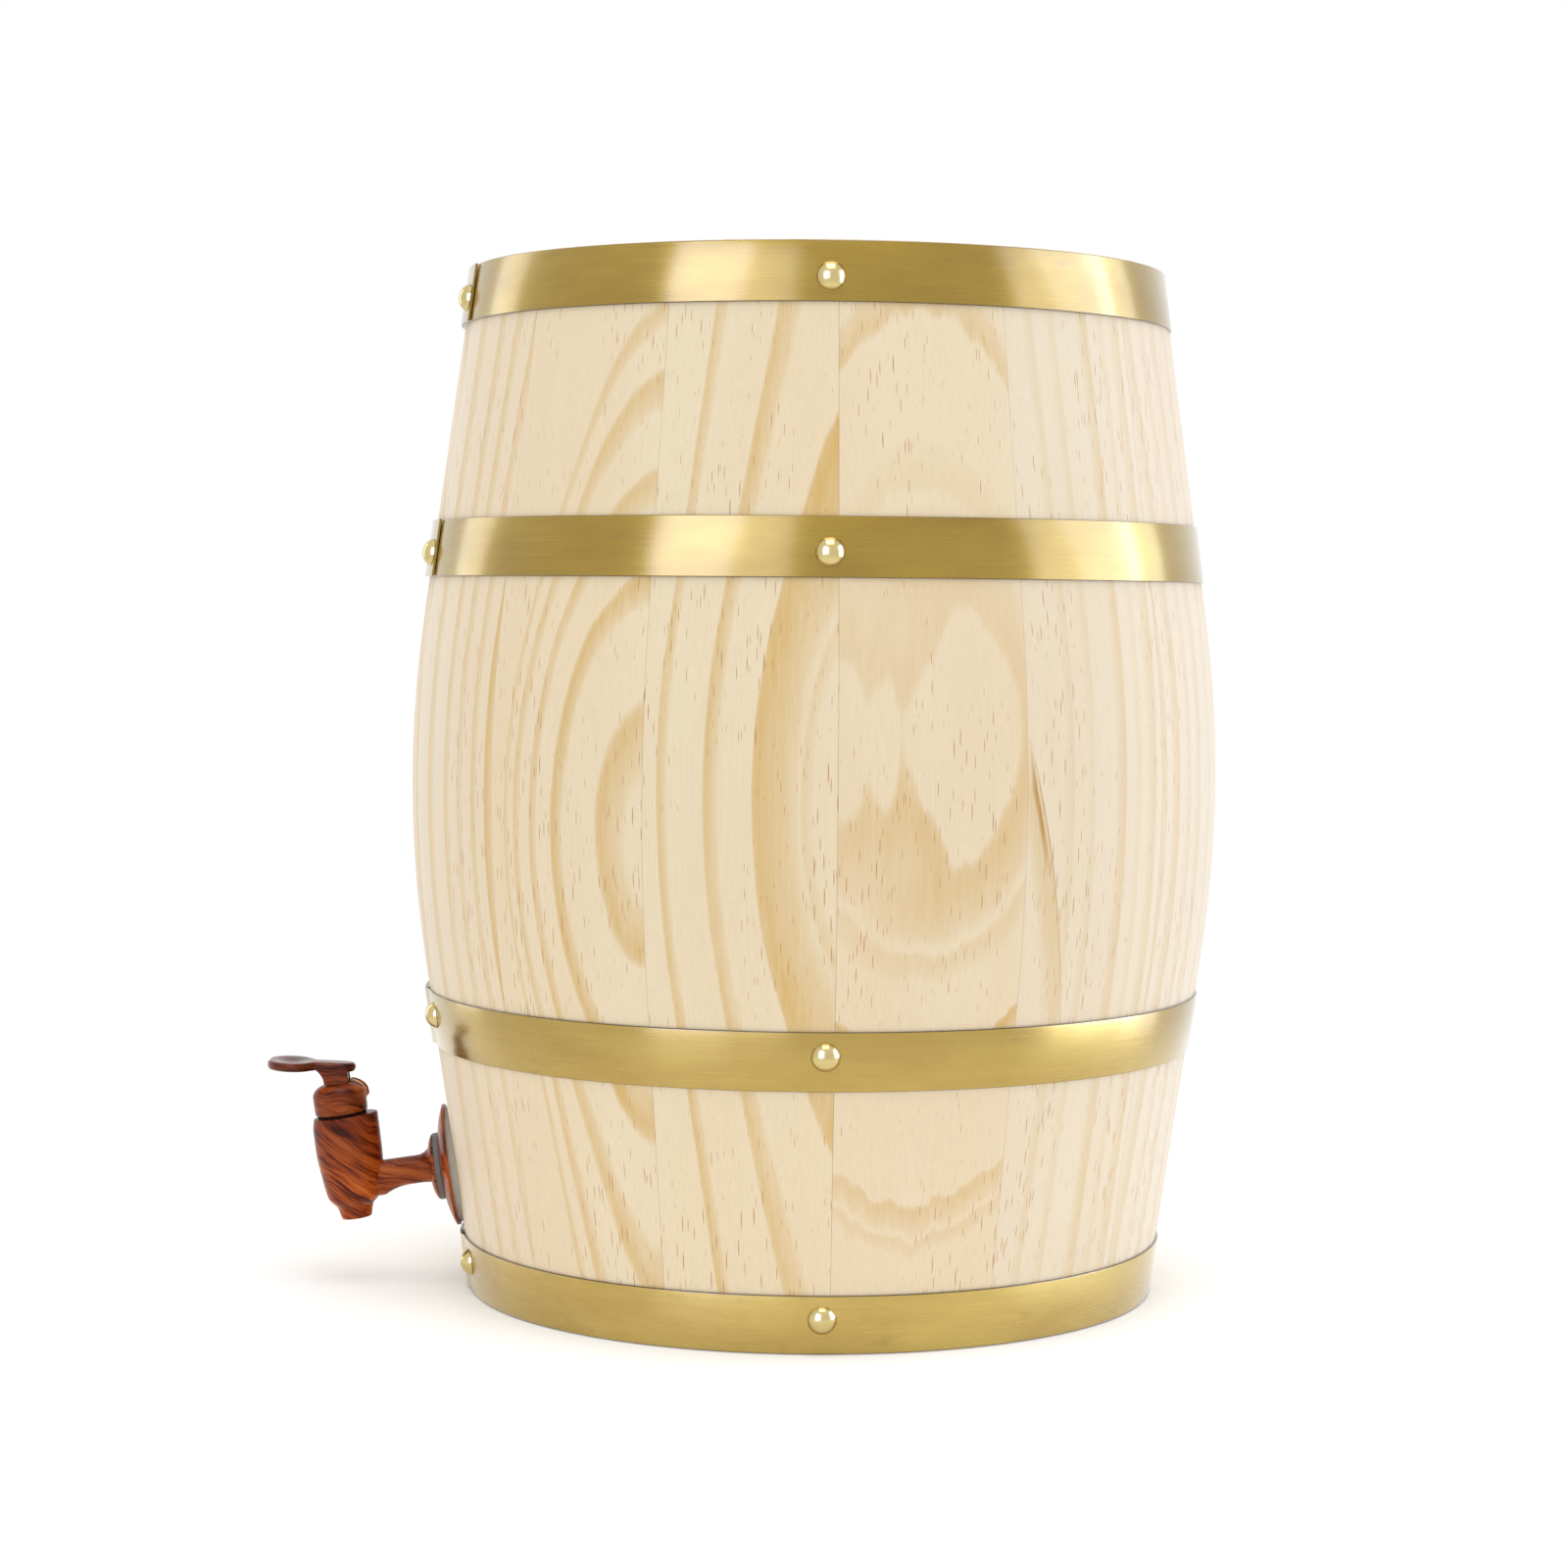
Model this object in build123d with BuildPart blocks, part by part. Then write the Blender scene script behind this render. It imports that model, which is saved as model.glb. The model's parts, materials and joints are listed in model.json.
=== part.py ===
from build123d import *

import os
from math import atan, cos, degrees, pi, radians, sin, tan

# Upright pine barrel with nailed brass hoops and a press-lever tap, in millimetres.
# +Z is up, the origin is the centre of the base and the tap faces -Y.

# Barrel shell
barrel_height = 328.0
bilge_diameter = 260.0
rim_diameter = 221.0
straight_run = 110.0  # height of the straight taper at each end, below and above the bilge arc
stave_count = 14
stave_thickness = 12.0
chime_bevel = 3.0  # bevel inside each end of a stave
tap_angle = -90.0  # where the tap stands, in degrees about the barrel's axis

# Heads
head_recess = 15.0
head_thickness = 10.0
head_board_count = 5
tongue_thickness = 5.0
head_bevel = 3.0
croze_depth = 4.0
croze_clearance = 0.1

# Bung
bung_hole_diameter = 30.0
bung_taper = 5.0  # degrees on each side
bung_clearance = 0.15
bung_plug_length = 14.0
bung_flange_diameter = 40.0
bung_flange_height = 3.5
bung_waist_diameter = 30.0
bung_top_diameter = 36.0
bung_height = 12.5  # above the head
bung_fillet = 1.2

# Hoops
hoop_width = 18.0
hoop_thickness = 0.7
hoop_gap = 0.02  # between a hoop and the staves
end_hoop_inset = 0.4
quarter_hoop_inset = 80.3
lap_slit = 0.2
lap_lead = 14.0  # degrees from the tap to the strip's free end
lap_back = 8.0  # degrees from the tap, the other way, to the lap's root
lap_root = 3.0

# Nails
nail_head_diameter = 8.8
nail_head_height = 3.0
nail_shank_diameter = 1.8
nail_length = 9.0
nail_point = 2.5
nail_seat = 0.03
nail_clearance = 0.1
nail_offset = 1.5  # below the middle of an upper strip and above the middle of a lower one
lap_nail_lead = 11.4  # degrees from the tap, through the free end
lap_nail_back = 11.4  # the other way, past the lap's root
side_nail_turn = 88.8  # degrees from the tap to the single nail on each side

# Tap, measured along its shank from the wall and along its valve from the shank
tap_height = 38.8
valve_reach = 34.4
shank_diameter = 15.2
shank_clearance = 0.3
flow_bore = 6.0
shank_tail = 5.0  # shank beyond the nut
gasket_diameter = 37.6
gasket_thickness = 1.1
escutcheon_diameter = 39.6
escutcheon_hub_diameter = 20.0
escutcheon_thickness = 3.5
escutcheon_rim = 0.9
washer_diameter = 21.8
washer_thickness = 1.6
collar_diameter = 21.6
collar_thickness = 2.1
collar_round = 0.9
neck_diameter = 9.2
neck_flare = 2.4
inner_gasket_diameter = 26.0
inner_gasket_thickness = 2.2
backing_washer_diameter = 25.0
backing_washer_thickness = 1.2
nut_across_flats = 22.0
nut_thickness = 7.0
thread_clearance = 0.05

# Tap body, as radii and heights along the valve
body_top_radius = 9.5
body_belly_radius = 10.1
body_waist_radius = 8.3
spout_root_radius = 5.7
spout_tip_radius = 5.0
body_top = 21.0
belly_top = 15.0
belly_foot = 9.0
body_waist = -5.4
spout_root = -8.9
spout_tip = -12.8
spout_round = 0.8
rib_width = 11.0
rib_reach = 11.4
rib_taper = 4.5
chamber_radius = 6.6
seat_height = -4.5
spout_bore_radius = 3.6

# Bonnet
bonnet_gap = 1.8  # height of the seal under the bonnet
bonnet_seal_width = 1.3
bonnet_radius = 8.5
bonnet_top_radius = 4.8
bonnet_side = 6.0
bonnet_height = 8.8
bonnet_plug_length = 6.0
bonnet_plug_clearance = 0.1
bonnet_wall = 1.1
spring_room = 3.0  # height of the spring's pocket above the seal

# Stem, spring and seals
lower_rod_radius = 2.0
upper_rod_radius = 2.2
rod_clearance = 0.08
piston_foot = 5.0
piston_height = 4.0
piston_clearance = 0.2
ring_section = 1.8
ring_squeeze_gap = 0.05
groove_room = 0.1
seal_radius = 5.4
seal_thickness = 3.4
seal_gap = 0.05
rod_in_seal = 2.4
spring_wire = 0.8
spring_radius = 4.2
spring_turns = 6

# Lever
lever_gap = 0.15  # between the lever's heel and the bonnet
pin_height = 2.0  # above the bonnet
trunnion_radius = 1.2
trunnion_length = 1.0
trunnion_clearance = 0.05
snap_groove = 2.0
tongue_side = 4.0
tongue_round = 1.9
slot_clearance = 0.2
slot_headroom = 0.3
lever_neck_width = 9.0
lever_neck_length = 8.1
heel_round = 0.8
gusset_reach = 1.6
gusset_drop = 2.2
paddle_rise = 4.3  # from the bonnet's top to the underside of the paddle, above the valve
paddle_thickness = 2.8
paddle_tilt = 2.6  # degrees, tip up
paddle_width = 22.0
spoon_length = 15.6
paddle_tip_reach = 22.0  # from the valve to the outer tip
paddle_tail_reach = 6.5
paddle_tail_width = 9.0
paddle_blend = 3.0  # where the spoon meets the tail
paddle_dish_depth = 0.9
paddle_dish_radius = 26.0

# Shapes of the wall: each end is a straight taper, tangent to the bilge arc between them.
rim_radius = rim_diameter / 2
bilge_radius = bilge_diameter / 2
solve_rounds = 50
half_tan = 0.0
for _ in range(solve_rounds):
    tangent_run = 2 * straight_run / (1 - half_tan**2)
    half_tan = (bilge_radius - rim_radius) / (tangent_run + barrel_height / 2 - straight_run)
taper = 2 * atan(half_tan)
stave_angle = 360 / stave_count


def wall_point(along, out, at_top=False):
    """Radius and height of a point that far along the taper from a rim and that far out of the wood."""
    radius = rim_radius + along * sin(taper) + out * cos(taper)
    height = along * cos(taper) - out * sin(taper)
    return (radius, barrel_height - height if at_top else height)


def inner_radius(height):
    """Radius of the staves' inner face at this height above the nearer rim, on the straight taper."""
    return rim_radius + height * tan(taper) - stave_thickness / cos(taper)


def radial_plane(angle):
    """Upright plane through the barrel's axis, with local x outwards at this angle and local y up."""
    turn = radians(angle)
    return Plane((0, 0, 0), x_dir=(cos(turn), sin(turn), 0), z_dir=(sin(turn), -cos(turn), 0))


def wall_plane(angle, along, out, at_top):
    """Plane on the tapered wall, with local z straight out of it."""
    turn = radians(angle)
    radius, height = wall_point(along, out, at_top)
    lift = sin(taper) if at_top else -sin(taper)
    normal = (cos(turn) * cos(taper), sin(turn) * cos(taper), lift)
    return Plane((radius * cos(turn), radius * sin(turn), height), z_dir=normal)


def write_piece(piece, name):
    """Label one finished piece and write its STEP file."""
    piece.part.label = name
    export_step(piece.part, f"parts/{name}.step")


os.makedirs("parts", exist_ok=True)

# Tap frame: local x runs out along the shank, local y up along the valve, both from the wall.
tap_radius, tap_z = wall_point(tap_height / cos(taper), 0)
turn = radians(tap_angle)
out_dir = Vector(cos(turn) * cos(taper), sin(turn) * cos(taper), -sin(taper))
up_dir = Vector(cos(turn) * sin(taper), sin(turn) * sin(taper), cos(taper))
tap_origin = Vector(tap_radius * cos(turn), tap_radius * sin(turn), tap_z)
tap_side = Plane(tap_origin, x_dir=out_dir, z_dir=out_dir.cross(up_dir))
shank_axis = Axis(tap_origin, out_dir)
valve_origin = tap_origin + out_dir * valve_reach
valve_axis = Axis(valve_origin, up_dir)


def shank_plane(reach):
    """Plane square to the shank, that far out of the wall, with local y up along the valve."""
    return Plane(tap_origin + out_dir * reach, x_dir=up_dir.cross(out_dir), z_dir=out_dir)


def valve_plane(height):
    """Plane square to the valve at this height, with local y towards the barrel."""
    return Plane(valve_origin + up_dir * height, x_dir=up_dir.cross(out_dir), z_dir=up_dir)


# Where the hoops and their nails go
hoop_places = {
    "bottom_hoop": (end_hoop_inset, False),
    "lower_hoop": (quarter_hoop_inset, False),
    "upper_hoop": (quarter_hoop_inset, True),
    "top_hoop": (end_hoop_inset, True),
}
nail_places = {}
for hoop_name, (inset, at_top) in hoop_places.items():
    hand = 1 if at_top else -1  # the lower hoops are the same strips turned over
    along = inset / cos(taper) + hoop_width / 2 + nail_offset
    single = hoop_gap + hoop_thickness + nail_seat
    double = single + lap_slit + hoop_thickness
    nail_places[hoop_name] = [
        (tap_angle + hand * lap_nail_lead, along, double, at_top),
        (tap_angle - hand * lap_nail_back, along, single, at_top),
        (tap_angle + side_nail_turn, along, single, at_top),
        (tap_angle - side_nail_turn, along, single, at_top),
    ]

# Staves
shank_hole_radius = shank_diameter / 2 + shank_clearance
nail_hole_radius = nail_shank_diameter / 2 + nail_clearance
knee = wall_point(straight_run / cos(taper), 0)
inner_knee = wall_point(straight_run / cos(taper), -stave_thickness)
tongue_low = head_recess + (head_thickness - tongue_thickness) / 2
croze_low = tongue_low - croze_clearance
croze_high = tongue_low + tongue_thickness + croze_clearance
croze_radius = inner_radius(head_recess + head_thickness / 2) + croze_depth
inner_end = [
    (inner_radius(croze_high), croze_high),
    (croze_radius, croze_high),
    (croze_radius, croze_low),
    (inner_radius(croze_low), croze_low),
    (inner_radius(chime_bevel), chime_bevel),
    (inner_radius(0) + chime_bevel, 0),
]
inner_top = [(radius, barrel_height - height) for radius, height in reversed(inner_end)]
staves = []
for index in range(stave_count):
    middle = tap_angle + index * stave_angle
    with BuildPart() as stave:
        with BuildSketch(radial_plane(middle - stave_angle / 2)):
            with BuildLine():
                Polyline(inner_end[-1], (rim_radius, 0), knee)
                ThreePointArc(knee, (bilge_radius, barrel_height / 2), (knee[0], barrel_height - knee[1]))
                Polyline((knee[0], barrel_height - knee[1]), (rim_radius, barrel_height), *inner_top)
                Line(inner_top[-1], (inner_knee[0], barrel_height - inner_knee[1]))
                ThreePointArc(
                    (inner_knee[0], barrel_height - inner_knee[1]),
                    (bilge_radius - stave_thickness, barrel_height / 2),
                    inner_knee,
                )
                Polyline(inner_knee, *inner_end)
            make_face()
        revolve(axis=Axis.Z, revolution_arc=stave_angle)
        if index == 0:
            with Locations(shank_plane(-stave_thickness / 2)):
                Cylinder(shank_hole_radius, 3 * stave_thickness, mode=Mode.SUBTRACT)
        for places in nail_places.values():
            for angle, along, out, at_top in places:
                if abs((angle - middle + 180) % 360 - 180) < stave_angle / 2:
                    with Locations(wall_plane(angle, along, out, at_top)):
                        Cylinder(nail_hole_radius, 2 * nail_length, mode=Mode.SUBTRACT)
    staves.append(stave)
    write_piece(stave, f"stave_{index + 1:02d}")

# Heads: boards edge to edge, with a tongue round the outside that sits in the croze
tongue_radius = croze_radius - croze_clearance
tongue_root = inner_radius(croze_low) - croze_clearance
face_radius = tongue_root - head_bevel
board_width = 2 * tongue_radius / head_board_count
bung_hole_radius = bung_hole_diameter / 2
bung_slope = tan(radians(bung_taper))
head_profile = [
    (0, head_recess),
    (face_radius, head_recess),
    (tongue_root, tongue_low),
    (tongue_radius, tongue_low),
    (tongue_radius, tongue_low + tongue_thickness),
    (tongue_root, tongue_low + tongue_thickness),
    (face_radius, head_recess + head_thickness),
    (0, head_recess + head_thickness),
]
bung_seat = barrel_height - head_recess
for head_name, at_top in (("bottom_head", False), ("top_head", True)):
    for index in range(head_board_count):
        offset_x = (index - (head_board_count - 1) / 2) * board_width
        with BuildPart() as board:
            with BuildSketch(Plane.XZ):
                with BuildLine():
                    Polyline(
                        *[(r, barrel_height - z if at_top else z) for r, z in head_profile], close=True
                    )
                make_face()
            revolve(axis=Axis.Z)
            with Locations((offset_x, 0, barrel_height / 2)):
                Box(board_width, 3 * tongue_radius, 2 * barrel_height, mode=Mode.INTERSECT)
            if at_top and index == head_board_count // 2:
                with Locations((0, 0, bung_seat - head_thickness / 2)):
                    Cone(
                        bung_hole_radius - head_thickness * bung_slope,
                        bung_hole_radius,
                        head_thickness,
                        mode=Mode.SUBTRACT,
                    )
        write_piece(board, f"{head_name}_board_{index + 1}")

# Bung: a tapered plug under a turned head with a finger groove
bung_plug_radius = bung_hole_radius - bung_clearance
with BuildPart() as bung:
    with BuildSketch(Plane.XZ):
        with BuildLine():
            flange_edge = (bung_flange_diameter / 2, bung_seat + bung_flange_height)
            top_edge = (bung_top_diameter / 2, bung_seat + bung_height - bung_flange_height)
            Polyline(
                (0, bung_seat + bung_height),
                (0, bung_seat - bung_plug_length),
                (bung_plug_radius - bung_plug_length * bung_slope, bung_seat - bung_plug_length),
                (bung_plug_radius, bung_seat),
                (bung_flange_diameter / 2, bung_seat),
                flange_edge,
            )
            ThreePointArc(flange_edge, (bung_waist_diameter / 2, bung_seat + bung_height / 2), top_edge)
            Polyline(top_edge, (bung_top_diameter / 2, bung_seat + bung_height), (0, bung_seat + bung_height))
        make_face()
    revolve(axis=Axis.Z)
    fillet(bung.edges().filter_by(GeomType.CIRCLE).sort_by(Axis.Z)[-1], bung_fillet)
write_piece(bung, "bung")

# Nail: a domed head on a pointed shank
nail_radius = nail_head_diameter / 2
dome_radius = (nail_radius**2 + nail_head_height**2) / (2 * nail_head_height)
with BuildPart() as nail:
    with BuildSketch(Plane.XZ):
        with BuildLine():
            RadiusArc((nail_radius, 0), (0, nail_head_height), -dome_radius)
            Polyline(
                (0, nail_head_height),
                (0, -nail_length),
                (nail_shank_diameter / 2, nail_point - nail_length),
                (nail_shank_diameter / 2, 0),
                (nail_radius, 0),
            )
        make_face()
    revolve(axis=Axis.Z)

# Hoops: a strip once round the barrel, whose free end laps over its start
for hoop_name, (inset, at_top) in hoop_places.items():
    hand = 1 if at_top else -1
    start = inset / cos(taper)
    free_end = tap_angle + hand * lap_lead
    root_end = tap_angle - hand * lap_back
    tail_out = hoop_gap + hoop_thickness + lap_slit
    layers = [
        (radial_plane(tap_angle), hoop_gap, hoop_gap + hoop_thickness, 360),
        (radial_plane(min(free_end, root_end)), tail_out, tail_out + hoop_thickness, lap_lead + lap_back),
        (
            radial_plane(min(root_end, root_end + hand * lap_root)),
            hoop_gap,
            tail_out + hoop_thickness,
            lap_root,
        ),
    ]
    with BuildPart() as hoop:
        for plane, inner, outer, arc in layers:
            with BuildSketch(plane) as strip:
                with BuildLine():
                    Polyline(
                        wall_point(start, inner, at_top),
                        wall_point(start, outer, at_top),
                        wall_point(start + hoop_width, outer, at_top),
                        wall_point(start + hoop_width, inner, at_top),
                        close=True,
                    )
                make_face()
            revolve(strip.sketch, axis=Axis.Z, revolution_arc=arc)
        nail_planes = [wall_plane(*place) for place in nail_places[hoop_name]]
        with Locations(*nail_planes):
            Cylinder(nail_hole_radius, 2 * nail_length, mode=Mode.SUBTRACT)
    write_piece(hoop, hoop_name)
    with BuildPart() as nails:
        with Locations(*nail_planes):
            add(nail.part)
    write_piece(nails, f"{hoop_name}_nails")

# Tap fixings along the shank, from the inside of the barrel outwards
escutcheon_face = gasket_thickness + escutcheon_thickness
collar_face = escutcheon_face + washer_thickness
inner_face = -stave_thickness - inner_gasket_thickness
nut_face = inner_face - backing_washer_thickness
shank_end = nut_face - nut_thickness - shank_tail

with BuildPart() as wall_gasket:
    with BuildSketch(shank_plane(gasket_thickness)):
        Circle(gasket_diameter / 2)
        Circle(shank_hole_radius + shank_clearance, mode=Mode.SUBTRACT)
    extrude(amount=-stave_thickness / 2)
    add(staves[0].part, mode=Mode.SUBTRACT)
write_piece(wall_gasket, "wall_gasket")

with BuildPart() as inner_gasket:
    with BuildSketch(shank_plane(inner_face)):
        Circle(inner_gasket_diameter / 2)
        Circle(shank_hole_radius + shank_clearance, mode=Mode.SUBTRACT)
    extrude(amount=stave_thickness / 2)
    add(staves[0].part, mode=Mode.SUBTRACT)
write_piece(inner_gasket, "inner_gasket")

with BuildPart() as backing_washer:
    with BuildSketch(shank_plane(inner_face)):
        Circle(backing_washer_diameter / 2)
        Circle(shank_hole_radius, mode=Mode.SUBTRACT)
    extrude(amount=-backing_washer_thickness)
write_piece(backing_washer, "backing_washer")

with BuildPart() as shank_nut:
    with BuildSketch(shank_plane(nut_face)):
        RegularPolygon(nut_across_flats / 2, 6, major_radius=False)
        Circle(shank_diameter / 2 + thread_clearance, mode=Mode.SUBTRACT)
    extrude(amount=-nut_thickness)
write_piece(shank_nut, "shank_nut")

with BuildPart() as escutcheon:
    with BuildSketch(tap_side):
        with BuildLine():
            rim_out = (gasket_thickness + escutcheon_rim, escutcheon_diameter / 2)
            hub_edge = (escutcheon_face, escutcheon_hub_diameter / 2)
            Polyline(
                hub_edge,
                (escutcheon_face, shank_hole_radius),
                (gasket_thickness, shank_hole_radius),
                (gasket_thickness, escutcheon_diameter / 2),
                rim_out,
            )
            swell = (
                (rim_out[0] + hub_edge[0]) / 2 + escutcheon_rim / 2,
                (rim_out[1] + hub_edge[1]) / 2,
            )
            ThreePointArc(rim_out, swell, hub_edge)
        make_face()
    revolve(axis=shank_axis)
write_piece(escutcheon, "escutcheon")

with BuildPart() as tap_washer:
    with BuildSketch(shank_plane(escutcheon_face)):
        Circle(washer_diameter / 2)
        Circle(shank_hole_radius, mode=Mode.SUBTRACT)
    extrude(amount=washer_thickness)
write_piece(tap_washer, "tap_washer")

# Tap body: a turned valve housing with a rear rib, on a neck with a collar and a shank
collar_out = collar_face + collar_thickness
neck_radius = neck_diameter / 2
with BuildPart() as tap_body:
    with BuildSketch(tap_side) as housing_profile:
        with BuildLine():
            Polyline(
                (valve_reach, spout_tip),
                (valve_reach + spout_tip_radius - spout_round, spout_tip),
                (valve_reach + spout_tip_radius, spout_tip + spout_round),
                (valve_reach + spout_root_radius, spout_root),
                (valve_reach + body_waist_radius, body_waist),
            )
            Spline(
                (valve_reach + body_waist_radius, body_waist),
                (valve_reach + body_belly_radius, belly_foot),
                (valve_reach + body_belly_radius, belly_top),
                (valve_reach + body_top_radius, body_top),
            )
            Polyline(
                (valve_reach + body_top_radius, body_top), (valve_reach, body_top), (valve_reach, spout_tip)
            )
        make_face()
    revolve(housing_profile.sketch, axis=valve_axis)
    with BuildSketch(valve_plane(body_top)) as rib_plan:
        with Locations((0, (rib_reach - rib_width / 2) / 2)):
            SlotCenterToCenter(rib_reach - rib_width / 2, rib_width, rotation=90)
    extrude(rib_plan.sketch, amount=-(body_top - body_waist), taper=rib_taper)
    with BuildSketch(tap_side) as shank_profile:
        with BuildLine():
            flare_end = (collar_out + neck_flare, neck_radius)
            collar_edge = (collar_out, collar_diameter / 2 - collar_round)
            Polyline(
                flare_end,
                (valve_reach, neck_radius),
                (valve_reach, 0),
                (shank_end, 0),
                (shank_end, shank_diameter / 2),
                (collar_face, shank_diameter / 2),
                (collar_face, collar_diameter / 2),
                (collar_out - collar_round, collar_diameter / 2),
            )
            ThreePointArc(
                (collar_out - collar_round, collar_diameter / 2),
                (
                    collar_out - collar_round * (1 - sin(pi / 4)),
                    collar_diameter / 2 - collar_round * (1 - cos(pi / 4)),
                ),
                collar_edge,
            )
            Line(collar_edge, (collar_out, neck_radius + neck_flare))
            RadiusArc((collar_out, neck_radius + neck_flare), flare_end, neck_flare)
        make_face()
    revolve(shank_profile.sketch, axis=shank_axis)
    with BuildSketch(valve_plane(body_top)) as chamber:
        Circle(chamber_radius)
    extrude(chamber.sketch, amount=seat_height - body_top, mode=Mode.SUBTRACT)
    with BuildSketch(valve_plane(seat_height)) as spout_bore:
        Circle(spout_bore_radius)
    extrude(spout_bore.sketch, amount=2 * spout_tip, mode=Mode.SUBTRACT)
    with BuildSketch(shank_plane(shank_end)) as bore:
        Circle(flow_bore / 2)
    extrude(bore.sketch, amount=valve_reach - shank_end, mode=Mode.SUBTRACT)
write_piece(tap_body, "tap_body")

# Bonnet: a domed cap with a hollow plug that goes down into the chamber
bonnet_foot = body_top + bonnet_gap
bonnet_top = bonnet_foot + bonnet_height
plug_radius = chamber_radius - bonnet_plug_clearance
pocket_radius = plug_radius - bonnet_wall
pocket_top = bonnet_foot + spring_room
rod_hole = upper_rod_radius + rod_clearance
with BuildPart() as bonnet:
    with BuildSketch(tap_side):
        with BuildLine():
            side_top = (valve_reach + bonnet_radius, bonnet_foot + bonnet_side)
            dome_edge = (valve_reach + bonnet_top_radius, bonnet_top)
            dome_drop = bonnet_height - bonnet_side
            dome_in = bonnet_radius - bonnet_top_radius
            bow = (
                side_top[0] - dome_in * (1 - cos(pi / 4)),
                side_top[1] + dome_drop * sin(pi / 4),
            )
            ThreePointArc(side_top, bow, dome_edge)
            Polyline(
                dome_edge,
                (valve_reach + rod_hole, bonnet_top),
                (valve_reach + rod_hole, pocket_top),
                (valve_reach + pocket_radius, pocket_top),
                (valve_reach + pocket_radius, body_top - bonnet_plug_length),
                (valve_reach + plug_radius, body_top - bonnet_plug_length),
                (valve_reach + plug_radius, bonnet_foot),
                (valve_reach + bonnet_radius, bonnet_foot),
                side_top,
            )
        make_face()
    revolve(axis=valve_axis)
write_piece(bonnet, "bonnet")

with BuildPart() as bonnet_seal:
    with BuildSketch(valve_plane(body_top)):
        Circle(chamber_radius + bonnet_seal_width)
        Circle(chamber_radius, mode=Mode.SUBTRACT)
    extrude(amount=bonnet_gap)
write_piece(bonnet_seal, "bonnet_seal")

# Stem: a rod with a piston, and a flat tongue on top whose trunnions carry the lever
seal_foot = seat_height + seal_gap
seal_top = seal_foot + seal_thickness
piston_radius = chamber_radius - piston_clearance
piston_top = piston_foot + piston_height
groove_low = piston_foot + (piston_height - ring_section) / 2 - groove_room
groove_high = piston_top - (piston_height - ring_section) / 2 + groove_room
ring_radius = chamber_radius - ring_squeeze_gap - ring_section / 2
groove_radius = ring_radius - ring_section / 2
pin_at = bonnet_top + pin_height
with BuildPart() as stem:
    with BuildSketch(tap_side) as rod_profile:
        with BuildLine():
            Polyline(
                (valve_reach, seal_top - rod_in_seal),
                (valve_reach + lower_rod_radius, seal_top - rod_in_seal),
                (valve_reach + lower_rod_radius, piston_foot),
                (valve_reach + piston_radius, piston_foot),
                (valve_reach + piston_radius, groove_low),
                (valve_reach + groove_radius, groove_low),
                (valve_reach + groove_radius, groove_high),
                (valve_reach + piston_radius, groove_high),
                (valve_reach + piston_radius, piston_top),
                (valve_reach + upper_rod_radius, piston_top),
                (valve_reach + upper_rod_radius, bonnet_top),
                (valve_reach, bonnet_top),
                close=True,
            )
        make_face()
    revolve(rod_profile.sketch, axis=valve_axis)
    with BuildSketch(tap_side) as tongue_profile:
        with Locations((valve_reach, (pin_at + bonnet_top) / 2)):
            Rectangle(2 * tongue_round, pin_at - bonnet_top)
        with Locations((valve_reach, pin_at)):
            Circle(tongue_round)
    extrude(tongue_profile.sketch, amount=tongue_side / 2, both=True)
    with BuildSketch(tap_side) as trunnion:
        with Locations((valve_reach, pin_at)):
            Circle(trunnion_radius)
    extrude(trunnion.sketch, amount=tongue_side / 2 + trunnion_length, both=True)
write_piece(stem, "stem")

with BuildPart() as valve_seal:
    with BuildSketch(valve_plane(seal_foot)):
        Circle(seal_radius)
    extrude(amount=seal_thickness)
    with BuildSketch(valve_plane(seal_top)):
        Circle(lower_rod_radius + seal_gap)
    extrude(amount=-rod_in_seal - seal_gap, mode=Mode.SUBTRACT)
write_piece(valve_seal, "valve_seal")

with BuildPart() as stem_ring:
    with BuildSketch(tap_side):
        with Locations((valve_reach + ring_radius, (groove_low + groove_high) / 2)):
            Circle(ring_section / 2)
    revolve(axis=valve_axis)
write_piece(stem_ring, "stem_ring")

# Return spring, from the piston up to the bonnet's pocket
spring_length = pocket_top - piston_top - spring_wire - 2 * seal_gap
with BuildPart() as return_spring:
    with BuildLine(valve_plane(piston_top + spring_wire / 2 + seal_gap)) as coil:
        Helix(spring_length / spring_turns, spring_length, spring_radius, direction=up_dir)
    with BuildSketch(Plane(coil.line @ 0, z_dir=coil.line % 0)):
        Circle(spring_wire / 2)
    sweep(is_frenet=True)
write_piece(return_spring, "return_spring")

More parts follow.
